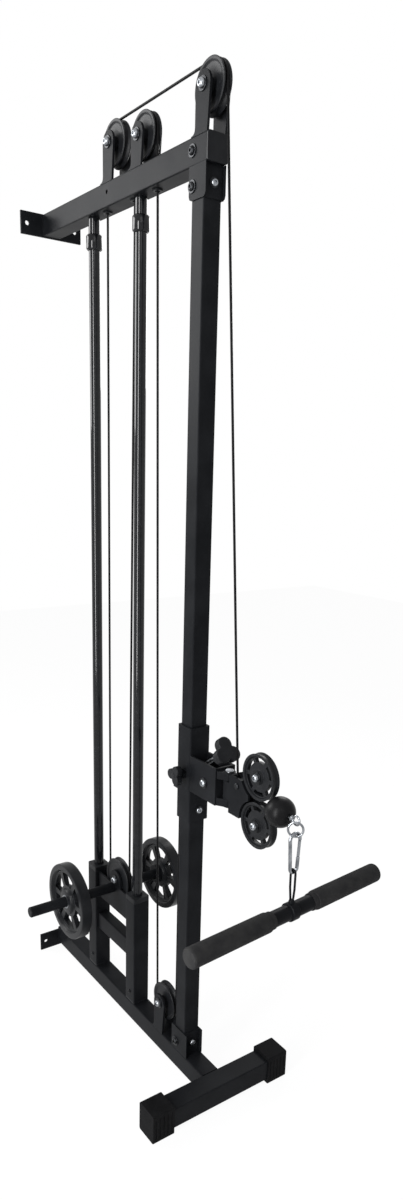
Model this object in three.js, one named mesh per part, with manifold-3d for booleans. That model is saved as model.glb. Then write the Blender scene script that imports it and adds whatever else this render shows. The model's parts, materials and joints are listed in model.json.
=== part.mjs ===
// Wall-fixed cable tower: a weight carriage on two guide rods, an upright with a sliding
// pulley arm, one cable over seven wheels, and a hand bar on a snap hook.
// Sizes are millimetres. X runs to the right, -Y away from the wall, +Z up.
// "Reach" is the distance in front of the wall, "height" the distance above the floor.
// The origin is the middle of the lower wall plate's back face.
import * as THREE from 'three';
import Module from 'manifold-3d';
import { mergeVertices } from 'three/addons/utils/BufferGeometryUtils.js';

const wasm = await Module();
wasm.setup();

// Fits, cuts and welds
const seatGap = 0.3;
const runGap = 0.4;
const cutOverrun = 2;
const weldOverlap = 0.5;
const mergeTolerance = 0.0001;

// Square and rectangular tubes of the frame
const tubeCorner = 4;
const tubeWall = 2.5;
const railWidth = 45;
const railHeight = 50;
const railBottom = 10;
const uprightSide = 40;
const uprightAhead = 230.5;
const boomWidth = 45;
const boomHeight = 48;
const boomTop = 1975;
const boomFrontAhead = 28;
const boomCapThickness = 4;
const plugLength = 12;

// Wall plates and their holes
const wallPlateHalf = 78;
const wallPlateThickness = 5;
const wallPlateHeight = 50;
const wallHoleOffset = 62;
const wallHoleRadius = 5.5;

// Cross foot and its rubber end caps
const footAhead = 121;
const footDepth = 50;
const footHalf = 181;
const capWall = 3.5;
const capTopWall = 9;
const capLength = 54;
const capEndWall = 4;
const capGrooveDepth = 1.2;
const capGrooveWidth = 3;
const capGrooveCount = 5;
const capGrooveStartShare = 0.75;

// Socket plates that hold the upright at both ends
const socketWall = 2.2;
const baseSocketHeight = 60;
const baseSocketBehind = 31;
const baseSocketAhead = 31;
const topSocketDrop = 56;
const topSocketBehind = 25;
const topSocketCorner = 8;

// Frame bolts
const frameBoltRadius = 4;
const frameHeadRadius = 8;
const frameHeadHeight = 6;
const frameNutRadius = 7.5;
const frameNutHeight = 6.5;
const baseSideBoltBehind = 14;
const baseSideBoltRise = 21;
const topSideBoltBehind = 14;
const topSideBoltDrop = 33;
const boomBoltBehind = 15;
const boomBoltRise = 25;
const spareHoleBehind = 6;
const spareHoleRise = 28;
const spareHoleRadius = 4;

// Guide rods and their stop collars
const rodRadius = 12.5;
const rearRodReach = 223;
const rodSpacing = 201.5;
const rodSides = 16;
const collarRadius = 18;
const collarDrop = 65;
const collarHeight = 32;
const collarBevel = 3;

// Grooved wheels that carry the cable
const cableRadius = 2.5;
const wheelRadius = 45;
const wheelHalfWidth = 9;
const cableLineInset = 3;
const grooveFloorGap = 0.6;
const grooveFloorHalf = 2;
const grooveMouthHalf = 6.5;
const rimInset = 7;
const rimTaper = 3;
const webHalf = 4;
const hubRadius = 13;
const hubTaper = 2;
const axleRadius = 5;
const wheelSides = 16;
const axleHeadRadius = 8.5;
const axleHeadHeight = 9;
const axleWasherRadius = 12;
const axleWasherThickness = 2;
const axleNutRadius = 9;
const axleNutHeight = 8;
const headCrownShare = 0.6;
const shankPastNutShare = 1.2;

// Ear plates under the wheels
const earThickness = 5;
const earHalf = 22;
const earTopRadius = 22;
const earFootFront = 15;
const earFlare = 12;
const earSink = tubeWall - weldOverlap;
const frontWheelAhead = 13;
const frontWheelRise = 74;
const middleWheelAhead = 18.5;
const middleWheelRise = 55;
const rearWheelBehind = 9;
const rearWheelRise = 71;
const lowWheelBehind = 89;
const lowWheelRise = 79;

// Cable passages through the boom
const passageRadius = 7;

// Weight carriage
const sleeveSide = 44;
const padThickness = 4;
const sleeveHeight = 285;
const bushTopFlange = 13;
const bushPlug = 20;
const crossbarRise = 116;
const crossbarHeight = 47;
const crossbarWidth = 30;
const bracketHeight = 69;
const bracketThickness = 5;
const carriageWheelAhead = 113;
const carriageWheelRise = 17;
const carriageWheelRadius = 55;
const carriageLineInset = 6;
const carriageWheelHalf = 8;
const carriageBossRadius = 26;
const hornBehind = 12;
const hornDrop = 9;
const hornRadius = 13;
const hornEnd = 245;
const hornBevel = 2;
const hornStopRadius = 24;
const hornStopThickness = 8;

// Weight plates
const discRadius = 95;
const discInner = 122;
const discThickness = 28;
const discRimDepth = 17;
const discWeb = 12;
const discHubRadius = 31;
const discHubThickness = 27;
const discBevel = 2.5;
const discOpenings = 6;
const discOpeningInner = 39;
const discOpeningOuter = 71;
const discSpokeHalfAngle = 0.17;
const discSides = 24;

// Slider on the upright
const sliderSide = 50;
const sliderGap = 0.5;
const sliderBottom = 657;
const sliderLength = 213;
const armThickness = 5;
const armRise = 74;
const armHeight = 80;
const armFrontAhead = 116;
const armBoltAhead = 75;
const armBoltRise = 36;
const armBoltRadius = 5;
const lugThickness = 6;
const lugHalfWidth = 12;
const lugDrop = 19;
const lugOverhang = 10;
const ferruleRadius = 6;
const ferruleLength = 14;

// Hinge knuckles between the arm and the wheel yoke
const hingeAhead = 14;
const knuckleRadius = 13;
const knuckleHeight = 17;
const knuckleRoot = 22;
const hingeInset = 5;
const hingePinRadius = 5;
const hingeHeadRadius = 9;
const hingeHeadHeight = 3;
const hingeFootShare = 0.85;

// Clamp knobs
const knobScrewRadius = 5;
const sideKnobRise = 33;
const sideBossRadius = 11;
const sideBossLength = 8;
const sideKnobTip = 23;
const sideKnobWaist = 10;
const sideKnobThickness = 13;
const sideKnobNeck = 5;
const knobBevel = 2;
const lobeFullness = 0.7;
const lockTilt = 35;
const lockKnobTip = 31;
const lockKnobWaist = 14;
const lockKnobThickness = 19;
const lockKnobAhead = 106;
const lockKnobRise = 26;
const lockBossRadius = 9;
const lockBossLength = 24;
const lockNeckRadius = 10;
const lockNeckLength = 6;

// Yoke and its two guide wheels
const yokeNear = 12;
const yokeFar = 14.6;
const yokeCheek = 5;
const yokeGap = 1.5;
const yokeNoseBehind = 22;
const yokeDrop = 7;
const yokeWheelAhead = 99;
const cableRise = 45.75;
const yokeWheelOffset = 50.25;
const yokeWheelRadius = 47;
const yokeWheelHalf = 8.5;
const yokeWheelClear = 2.5;
const yokeWheelInset = 2.5;
const yokeLobeRadius = 14;
const yokeNeckBehind = 24;
const rimSlotCount = 6;
const rimSlotInner = 30;
const rimSlotOuter = 38.5;
const rimSlotHalfRib = 0.16;
const rollerAhead = 40;
const rollerRadius = 14.5;
const rollerHalf = 5.5;
const rollerLineRadius = 13;
const rollerGrooveHalf = 3.4;
const rollerPinRadius = 3;
const pocketHalf = 6.5;
const pocketAhead = 21;
const pocketDepth = 7.75;

// Stop ball, ring, hook and hand bar
const ballRadius = 30;
const ballAhead = 61.5;
const ballFlat = 6;
const endFerruleRadius = 6;
const endFerruleLength = 9;
const eyeRadius = 9;
const eyeWire = 2;
const linkGap = 0.8;
const ringRadius = 14.25;
const ringWire = 2.25;
const ringTurn = 45;
const hookWire = 3.5;
const hookTopRadius = 12;
const hookBottomRadius = 8.5;
const hookSpan = 58.5;
const gateWire = 3;
const gateLength = 34;
const gateHingeGap = 0.6;
const gateNoseGap = 1.4;
const gateNoseShare = 0.95;
const tabThickness = 4;
const tabHalfWidth = 9;
const tabHoleRadius = 5.4;
const tabHoleEdge = 3.5;
const barDrop = 90.35;
const barTurn = 5;
const barRadius = 15.5;
const barWall = 2.5;
const barHalf = 247;
const barCollarRadius = 18.5;
const barCollarHalf = 9;
const gripRadius = 19.5;
const gripInner = 52;
const gripEndWall = 4;
const gripBevel = 3;

// Facet counts
const roundSides = 10;
const smallSides = 8;
const cableSides = 8;
const knobSteps = 20;
const cornerSteps = 1;
const kidneySteps = 2;
const earSteps = 4;
const arcSteps = 6;

// Places worked out from the sizes above
const railTop = railBottom + railHeight;
const boomBottom = boomTop - boomHeight;
const frontRodReach = rearRodReach + rodSpacing;
const uprightReach = frontRodReach + uprightAhead;
const boomFrontReach = uprightReach + boomFrontAhead;
const footReach = uprightReach + footAhead;
const baseSocketTop = railTop + baseSocketHeight;
const baseSocketBack = uprightReach - baseSocketBehind;
const baseSocketFront = uprightReach + baseSocketAhead;
const topSocketBottom = boomBottom - topSocketDrop;
const topSocketBack = uprightReach - topSocketBehind;
const baseSideBoltReach = uprightReach - baseSideBoltBehind;
const baseSideBoltHeight = railTop + baseSideBoltRise;
const topSideBoltReach = uprightReach - topSideBoltBehind;
const topSideBoltHeight = boomBottom - topSideBoltDrop;
const boomBoltReach = uprightReach - boomBoltBehind;
const boomBoltHeight = boomBottom + boomBoltRise;
const carriageBottom = railTop;
const sleeveTop = carriageBottom + sleeveHeight;
const crossbarBottom = carriageBottom + crossbarRise;
const bracketTop = sleeveTop;
const bracketBottom = bracketTop - bracketHeight;
const carriageWheelReach = rearRodReach + carriageWheelAhead;
const carriageWheelHeight = sleeveTop + carriageWheelRise;
const hornReach = carriageWheelReach - hornBehind;
const hornHeight = sleeveTop - hornDrop;
const frontWheelReach = uprightReach + frontWheelAhead;
const middleWheelReach = frontRodReach + middleWheelAhead;
const rearWheelReach = carriageWheelReach - rearWheelBehind;
const lowWheelReach = uprightReach - lowWheelBehind;
const spareHoleReach = rearWheelReach - spareHoleBehind;
const spareHoleHeight = boomBottom + spareHoleRise;
const collarBottom = boomBottom - collarDrop;
const sliderTop = sliderBottom + sliderLength;
const armBottom = sliderBottom + armRise;
const armTop = armBottom + armHeight;
const armFrontReach = uprightReach + armFrontAhead;
const armBoltReach = uprightReach + armBoltAhead;
const armBoltHeight = armBottom + armBoltRise;
const lugBottom = armBottom - lugDrop;
const hingeReach = armFrontReach + hingeAhead;
const hingeTop = armTop - hingeInset;
const sideKnobHeight = armBottom + sideKnobRise;
const lockKnobReach = uprightReach + lockKnobAhead;
const lockKnobHeight = armTop + lockKnobRise;
const yokeBack = hingeReach + knuckleRadius + yokeGap;
const yokeBottom = armBottom - yokeDrop;
const yokeWheelReach = hingeReach + yokeWheelAhead;
const yokeNose = yokeWheelReach - yokeNoseBehind;
const yokeNeckReach = yokeWheelReach - yokeNeckBehind;
const pocketBack = hingeReach + pocketAhead;
const rollerReach = hingeReach + rollerAhead;
const ballReach = yokeWheelReach + ballAhead;
const cableHeight = armBottom + cableRise;
const yokeUpperHeight = cableHeight + yokeWheelOffset;
const yokeLowerHeight = cableHeight - yokeWheelOffset;
const rollerHeight = cableHeight + rollerLineRadius;
const pocketFloor = cableHeight - pocketDepth;
const entryReach = rollerReach - rollerLineRadius;
const socketOuter = uprightSide / 2 + seatGap + socketWall;
const socketInner = uprightSide / 2 + seatGap;
const cableLine = wheelRadius - cableLineInset;
const carriageLine = carriageWheelRadius - carriageLineInset;
const earInner = boomWidth / 2 - earThickness;
const railMiddle = railBottom + railHeight / 2;
const boomMiddle = boomBottom + boomHeight / 2;
const frontWheelHeight = boomTop + frontWheelRise;
const middleWheelHeight = boomTop + middleWheelRise;
const rearWheelHeight = boomTop + rearWheelRise;
const lowWheelHeight = railTop + lowWheelRise;
const tilt = THREE.MathUtils.degToRad(lockTilt);

// Directions a local Z axis can be laid along, as the images of local x, y and z
const sideways = [[0, -1, 0], [0, 0, 1], [1, 0, 0]];
const upward = [[1, 0, 0], [0, -1, 0], [0, 0, 1]];
const forward = [[1, 0, 0], [0, 0, 1], [0, -1, 0]];

// Materials
const finishes = {
  paint: { color: 0x17181a, roughness: 0.42, metalness: 0.25 },
  rod: { color: 0x1b1c1e, roughness: 0.16, metalness: 0.75 },
  steel: { color: 0xb9bcc0, roughness: 0.28, metalness: 1 },
  plastic: { color: 0x1a1b1c, roughness: 0.5, metalness: 0 },
  rubber: { color: 0x141415, roughness: 0.85, metalness: 0 },
  iron: { color: 0x191a1b, roughness: 0.55, metalness: 0.3 },
  cable: { color: 0x101011, roughness: 0.4, metalness: 0 },
  foam: { color: 0x202122, roughness: 0.95, metalness: 0 },
};

const tower = new THREE.Group();
tower.position.z = -wallPlateHeight / 2;

// Turns a three.js geometry into a closed solid for joining and cutting.
function solid(geometry) {
  const bare = geometry.clone();
  bare.deleteAttribute('normal');
  bare.deleteAttribute('uv');
  const merged = mergeVertices(bare, mergeTolerance);
  const place = merged.attributes.position;
  const corners = [];
  let volume = 0;
  const points = [new THREE.Vector3(), new THREE.Vector3(), new THREE.Vector3()];
  for (let i = 0; i < merged.index.count; i += 3) {
    const ids = [merged.index.getX(i), merged.index.getX(i + 1), merged.index.getX(i + 2)];
    if (ids[0] === ids[1] || ids[1] === ids[2] || ids[2] === ids[0]) continue;
    ids.forEach((id, k) => points[k].fromBufferAttribute(place, id));
    volume += points[0].dot(points[1].cross(points[2]));
    corners.push(...ids);
  }
  if (volume < 0) corners.reverse();
  return new wasm.Manifold(new wasm.Mesh({
    numProp: 3,
    vertProperties: new Float32Array(place.array),
    triVerts: new Uint32Array(corners),
  }));
}

// Gives a solid back as a geometry with flat shading.
function geometryOf(body) {
  const mesh = body.getMesh();
  const geometry = new THREE.BufferGeometry();
  geometry.setAttribute('position', new THREE.BufferAttribute(new Float32Array(mesh.vertProperties), 3));
  geometry.setIndex(new THREE.BufferAttribute(new Uint32Array(mesh.triVerts), 1));
  const flat = geometry.toNonIndexed();
  flat.computeVertexNormals();
  return flat;
}

// Adds a named piece to the tower.
function piece(name, finish, body) {
  const mesh = new THREE.Mesh(geometryOf(body), new THREE.MeshStandardMaterial(finishes[finish]));
  mesh.name = name;
  tower.add(mesh);
  return mesh;
}

// Joins a list of solids.
function joined(bodies) {
  return bodies.reduce((all, body) => all.add(body));
}

// Lays a geometry's local Z along a direction and moves its origin to a place.
function laid(geometry, direction, x, reach, height) {
  const [right, up, out] = direction.map((axis) => new THREE.Vector3(...axis));
  const place = new THREE.Matrix4().makeBasis(right, up, out).setPosition(x, -reach, height);
  return geometry.clone().applyMatrix4(place);
}

// A block between two sides, two reaches and two heights.
function block(left, right, back, front, bottom, top) {
  const box = new THREE.BoxGeometry(right - left, front - back, top - bottom);
  return solid(box.translate((left + right) / 2, -(back + front) / 2, (bottom + top) / 2));
}

// A round bar that starts at a place and runs along a direction.
function bar(radius, length, direction, x, reach, height, sides = roundSides) {
  const round = new THREE.CylinderGeometry(radius, radius, length, sides);
  return solid(laid(round.rotateX(Math.PI / 2).translate(0, 0, length / 2), direction, x, reach, height));
}

// A turned piece: pairs of radius and distance along its axis.
function turned(profile, sides, direction, x, reach, height) {
  const points = profile.map(([radius, along]) => new THREE.Vector2(radius, along));
  const round = new THREE.LatheGeometry(points, sides).rotateX(Math.PI / 2);
  return solid(laid(round, direction, x, reach, height));
}

// A flat outline pushed along a direction from a place.
function pushed(shape, depth, direction, x, reach, height, steps = cornerSteps) {
  const flat = new THREE.ExtrudeGeometry(shape, { depth, bevelEnabled: false, curveSegments: steps });
  return solid(laid(flat, direction, x, reach, height));
}

// A rectangle with round corners about its own middle.
function roundedRectangle(width, height, corner) {
  const w = width / 2;
  const h = height / 2;
  const quarter = Math.PI / 2;
  const shape = new THREE.Shape();
  shape.absarc(w - corner, corner - h, corner, -quarter, 0);
  shape.absarc(w - corner, h - corner, corner, 0, quarter);
  shape.absarc(corner - w, h - corner, corner, quarter, 2 * quarter);
  shape.absarc(corner - w, corner - h, corner, 2 * quarter, 3 * quarter);
  shape.closePath();
  return shape;
}

// A rectangular tube that starts at the middle of its section and runs along a direction.
function tube(width, height, wall, length, direction, x, reach, level) {
  const outside = roundedRectangle(width, height, tubeCorner);
  const bore = roundedRectangle(width - 2 * wall, height - 2 * wall, tubeCorner - wall);
  outside.holes.push(bore);
  return pushed(outside, length, direction, x, reach, level);
}

// A bar with the same rounded outline as a tube, without its bore.
function roundedBlock(width, height, corner, length, direction, x, reach, level) {
  return pushed(roundedRectangle(width, height, corner), length, direction, x, reach, level);
}

// A route through chosen stations, each station one ring of the cable.
class Route extends THREE.Curve {
  constructor(stations) {
    super();
    this.stations = stations;
  }

  getPointAt(share, target = new THREE.Vector3()) {
    const place = share * (this.stations.length - 1);
    const first = Math.min(Math.floor(place), this.stations.length - 2);
    return target.lerpVectors(this.stations[first], this.stations[first + 1], place - first);
  }

  getPoint(share, target) {
    return this.getPointAt(share, target);
  }

  getSpacedPoints() {
    return this.stations;
  }

  getTangentAt(share, target = new THREE.Vector3()) {
    const last = this.stations.length - 1;
    const here = Math.round(share * last);
    const before = this.stations[Math.max(here - 1, 0)];
    const after = this.stations[Math.min(here + 1, last)];
    return target.subVectors(after, before).normalize();
  }
}

// A round wire along stations given as points of the tower.
function wire(radius, stations, sides = cableSides) {
  const section = new THREE.Shape();
  for (let i = 0; i < sides; i += 1) {
    const angle = (i / sides) * 2 * Math.PI;
    const corner = [radius * Math.cos(angle), radius * Math.sin(angle)];
    if (i === 0) section.moveTo(...corner);
    else section.lineTo(...corner);
  }
  section.closePath();
  const route = new Route(stations);
  return solid(new THREE.ExtrudeGeometry(section, { steps: stations.length - 1, extrudePath: route }));
}

// Stations of an arc in the plane X = 0; angles run from forward towards up.
function arcStations(reach, height, radius, from, to, steps = arcSteps) {
  const stations = [];
  for (let i = 0; i <= steps; i += 1) {
    const angle = THREE.MathUtils.degToRad(from + ((to - from) * i) / steps);
    stations.push(stationAt(reach + radius * Math.cos(angle), height + radius * Math.sin(angle)));
  }
  return stations;
}

// A point of the middle plane.
function stationAt(reach, height) {
  return new THREE.Vector3(0, -reach, height);
}

// A grooved wheel on an axis that runs sideways; its bore clears the axle.
function groovedWheel(radius, line, half, hubHalf, reach, height) {
  const floor = line - cableRadius - grooveFloorGap;
  const rim = radius - rimInset;
  const right = [
    [axleRadius + seatGap, hubHalf],
    [hubRadius, hubHalf],
    [hubRadius + hubTaper, webHalf],
    [rim, half],
    [radius, half],
    [radius, grooveMouthHalf],
    [floor, grooveFloorHalf],
  ];
  const left = right.map(([r, along]) => [r, -along]).reverse();
  const profile = [...right, ...left, right[0]];
  return turned(profile, wheelSides, sideways, 0, reach, height);
}

// An axle bolt with a domed head and washer on the left and a nut on the right.
function axleBolt(left, right, radius, head, headHeight, nut, nutHeight, reach, height) {
  const start = -left - seatGap;
  const end = right + seatGap;
  const dome = turned([
    [0, start - headHeight],
    [head * headCrownShare, start - headHeight],
    [head, start - axleWasherThickness],
    [head * axleWasherRadius / axleHeadRadius, start],
    [radius, start],
    [radius, end + nutHeight * shankPastNutShare],
    [0, end + nutHeight * shankPastNutShare],
  ], roundSides, sideways, 0, reach, height);
  return dome.add(bar(nut, nutHeight, sideways, end, reach, height, 6));
}

// A cross hole for a bolt.
function crossHole(radius, half, reach, height) {
  const start = -half - cutOverrun;
  return bar(radius + seatGap, -2 * start, sideways, start, reach, height);
}

// One ear plate: a round top over the axle and a flared foot at its back.
function earPlate(inner, thickness, reach, axle, foot, mirrored) {
  const rise = axle - foot;
  const shape = new THREE.Shape();
  shape.moveTo(-earHalf - earFlare, -rise - earSink);
  shape.lineTo(earFootFront, -rise - earSink);
  shape.lineTo(earTopRadius, 0);
  shape.absarc(0, 0, earTopRadius, 0, Math.PI, false);
  shape.lineTo(-earHalf, earFlare - rise);
  shape.quadraticCurveTo(-earHalf, -rise, -earHalf - earFlare, -rise);
  shape.closePath();
  const left = mirrored ? -inner - thickness : inner;
  return pushed(shape, thickness, sideways, left, reach, axle, earSteps);
}

// Both ear plates of a wheel, drilled for the axle.
function earPair(reach, axle, foot) {
  const hole = crossHole(axleRadius, boomWidth, reach, axle);
  const plates = [false, true].map((mirrored) => earPlate(earInner, earThickness, reach, axle, foot, mirrored));
  return joined(plates).subtract(hole);
}

// A wall plate with a hole at each side.
function wallPlate(bottom) {
  const plate = block(-wallPlateHalf, wallPlateHalf, 0, wallPlateThickness, bottom, bottom + wallPlateHeight);
  const middle = bottom + wallPlateHeight / 2;
  const holes = [-wallHoleOffset, wallHoleOffset].map((x) => bar(
    wallHoleRadius,
    wallPlateThickness + 2 * cutOverrun,
    forward,
    x,
    -cutOverrun,
    middle,
    smallSides,
  ));
  return plate.subtract(joined(holes));
}

// Side plates and a front plate round one end of the upright.
function socket(back, front, bottom, top, corner) {
  const shape = new THREE.Shape();
  const low = corner > 0 ? corner : 0;
  shape.moveTo(back, top);
  shape.lineTo(back, bottom + low);
  if (low > 0) shape.absarc(back + low, bottom + low, low, Math.PI, 1.5 * Math.PI, false);
  shape.lineTo(front - low, bottom);
  if (low > 0) shape.absarc(front - low, bottom + low, low, 1.5 * Math.PI, 2 * Math.PI, false);
  shape.lineTo(front, top);
  shape.closePath();
  const left = pushed(shape, socketWall, sideways, -socketOuter, 0, 0);
  const right = pushed(shape, socketWall, sideways, socketInner, 0, 0);
  const face = uprightReach + socketInner;
  const plate = block(-socketOuter, socketOuter, face, face + socketWall, bottom, top);
  return joined([left, right, plate]);
}

// The lower weldment: rail, wall plate, cross foot tube, base socket and low wheel ears.
function buildBase() {
  const start = wallPlateThickness - weldOverlap;
  const back = footReach - footDepth / 2;
  const rail = tube(railWidth, railHeight, tubeWall, back + weldOverlap - start, forward, 0, start, railMiddle);
  const foot = tube(footDepth, railHeight, tubeWall, 2 * footHalf, sideways, -footHalf, footReach, railMiddle);
  const sideBolt = crossHole(frameBoltRadius, railWidth, baseSideBoltReach, baseSideBoltHeight);
  const cup = socket(baseSocketBack, baseSocketFront, railTop - weldOverlap, baseSocketTop, 0);
  const ears = earPair(lowWheelReach, lowWheelHeight, railTop);
  const bores = [rearRodReach, frontRodReach].map((reach) => bar(
    rodRadius + seatGap,
    tubeWall + 2 * cutOverrun,
    upward,
    0,
    reach,
    railTop - tubeWall - cutOverrun,
    rodSides,
  ));
  const body = joined([wallPlate(0), rail, foot, cup, ears]);
  const cuts = joined([sideBolt, ...bores]);
  piece('base_frame', 'paint', body.subtract(cuts));
}

// A ribbed rubber cap over one end of the foot tube.
function buildFootCap(name, sign) {
  const outer = footHalf + seatGap + capEndWall;
  const inner = outer - capLength;
  const half = footDepth / 2 + seatGap + capWall;
  const top = railTop + seatGap + capTopWall;
  const low = Math.min(sign * inner, sign * outer);
  const shell = roundedBlock(2 * half, top, tubeCorner, capLength, sideways, low, footReach, top / 2);
  const hollow = capLength - capEndWall + cutOverrun;
  const hollowStart = sign > 0 ? inner - cutOverrun : -outer + capEndWall;
  const pocket = roundedBlock(
    footDepth + 2 * seatGap,
    railHeight + 2 * seatGap,
    tubeCorner,
    hollow,
    sideways,
    hollowStart,
    footReach,
    railMiddle,
  );
  const pitch = (capLength - capEndWall) / capGrooveCount;
  const grooves = [];
  for (let i = 0; i < capGrooveCount; i += 1) {
    const middle = sign * (outer - pitch * (i + capGrooveStartShare));
    [-1, 1].forEach((face) => {
      const edge = footReach + face * half;
      grooves.push(block(
        middle - capGrooveWidth / 2,
        middle + capGrooveWidth / 2,
        Math.min(edge - face * capGrooveDepth, edge + face * cutOverrun),
        Math.max(edge - face * capGrooveDepth, edge + face * cutOverrun),
        railBottom,
        railTop,
      ));
    });
  }
  piece(name, 'rubber', shell.subtract(pocket).subtract(joined(grooves)));
}

// The upright between its two sockets, drilled for the frame bolts.
function buildUpright() {
  const bottom = railTop + seatGap;
  const length = boomBottom - seatGap - bottom;
  const body = tube(uprightSide, uprightSide, tubeWall, length, upward, 0, uprightReach, bottom);
  const cuts = joined([
    crossHole(frameBoltRadius, uprightSide, baseSideBoltReach, baseSideBoltHeight),
    crossHole(frameBoltRadius, uprightSide, topSideBoltReach, topSideBoltHeight),
  ]);
  piece('front_upright', 'paint', body.subtract(cuts));
}

// Where a straight stretch of cable between two places crosses a height.
function crossing(reachA, heightA, reachB, heightB, height) {
  return reachA + ((reachB - reachA) * (height - heightA)) / (heightB - heightA);
}

const rearLine = rearWheelReach - cableLine;
const carriageRear = carriageWheelReach - carriageLine;
const carriageFront = carriageWheelReach + carriageLine;
const middleBack = middleWheelReach - cableLine;
const middleFront = middleWheelReach + cableLine;
const lowBack = lowWheelReach - cableLine;
const lowFront = lowWheelReach + cableLine;
const frontLine = frontWheelReach + cableLine;
const passages = [
  crossing(rearLine, rearWheelHeight, carriageRear, carriageWheelHeight, boomMiddle),
  crossing(middleBack, middleWheelHeight, carriageFront, carriageWheelHeight, boomMiddle),
  crossing(middleFront, middleWheelHeight, lowBack, lowWheelHeight, boomMiddle),
];

// The upper weldment: boom, wall plate, three pairs of ears and the top socket.
function buildBoom() {
  const start = wallPlateThickness - weldOverlap;
  const boom = tube(boomWidth, boomHeight, tubeWall, boomFrontReach - start, forward, 0, start, boomMiddle);
  const ears = [
    earPair(rearWheelReach, rearWheelHeight, boomTop),
    earPair(middleWheelReach, middleWheelHeight, boomTop),
    earPair(frontWheelReach, frontWheelHeight, boomTop),
  ];
  const cup = socket(topSocketBack, boomFrontReach, topSocketBottom, boomBottom + weldOverlap, topSocketCorner);
  const plate = wallPlate(boomTop - wallPlateHeight);
  const cuts = passages.map((reach) => bar(
    passageRadius,
    boomHeight + 2 * cutOverrun,
    upward,
    0,
    reach,
    boomBottom - cutOverrun,
    roundSides,
  ));
  [rearRodReach, frontRodReach].forEach((reach) => {
    const length = tubeWall + 2 * cutOverrun;
    cuts.push(bar(rodRadius + seatGap, length, upward, 0, reach, boomBottom - cutOverrun, rodSides));
  });
  cuts.push(crossHole(frameBoltRadius, boomWidth, boomBoltReach, boomBoltHeight));
  cuts.push(crossHole(frameBoltRadius, boomWidth, topSideBoltReach, topSideBoltHeight));
  cuts.push(crossHole(spareHoleRadius, boomWidth, spareHoleReach, spareHoleHeight));
  piece('top_boom', 'paint', joined([boom, ...ears, cup, plate]).subtract(joined(cuts)));
}

// The plastic plug in the front end of the boom.
function buildBoomCap() {
  const inside = 2 * (tubeWall + seatGap);
  const plug = roundedBlock(
    boomWidth - inside,
    boomHeight - inside,
    tubeCorner - tubeWall,
    plugLength + weldOverlap,
    forward,
    0,
    boomFrontReach + seatGap - plugLength,
    boomMiddle,
  );
  const face = roundedBlock(
    boomWidth,
    boomHeight,
    tubeCorner,
    boomCapThickness,
    forward,
    0,
    boomFrontReach + seatGap,
    boomMiddle,
  );
  piece('boom_end_cap', 'plastic', plug.add(face));
}

// A guide rod from the floor of the rail to the roof of the boom, and its stop collar.
function buildGuideRod(name, reach) {
  const bottom = railBottom + tubeWall + seatGap;
  const length = boomTop - tubeWall - seatGap - bottom;
  piece(`guide_rod_${name}`, 'rod', bar(rodRadius, length, upward, 0, reach, bottom, rodSides));
  const bore = rodRadius + seatGap;
  const collar = turned([
    [bore, 0],
    [collarRadius - collarBevel, 0],
    [collarRadius, collarBevel],
    [collarRadius, collarHeight - collarBevel],
    [collarRadius - collarBevel, collarHeight],
    [bore, collarHeight],
    [bore, 0],
  ], rodSides, upward, 0, reach, collarBottom);
  piece(`rod_collar_${name}`, 'rod', collar);
}

// A wheel of the frame with its axle bolt.
function buildFrameWheel(name, reach, height) {
  const hub = earInner - runGap;
  piece(name, 'plastic', groovedWheel(wheelRadius, cableLine, wheelHalfWidth, hub, reach, height));
  piece(`${name}_bolt`, 'steel', wheelBolt(boomWidth / 2, boomWidth / 2, reach, height));
}

// The axle bolt of a wheel, seated on the outer faces of what carries it.
function wheelBolt(left, right, reach, height) {
  return axleBolt(
    left,
    right,
    axleRadius,
    axleHeadRadius,
    axleHeadHeight,
    axleNutRadius,
    axleNutHeight,
    reach,
    height,
  );
}

// A bolt through the whole frame.
function frameBolt(half, reach, height) {
  return axleBolt(
    half,
    half,
    frameBoltRadius,
    frameHeadRadius,
    frameHeadHeight,
    frameNutRadius,
    frameNutHeight,
    reach,
    height,
  );
}

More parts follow.
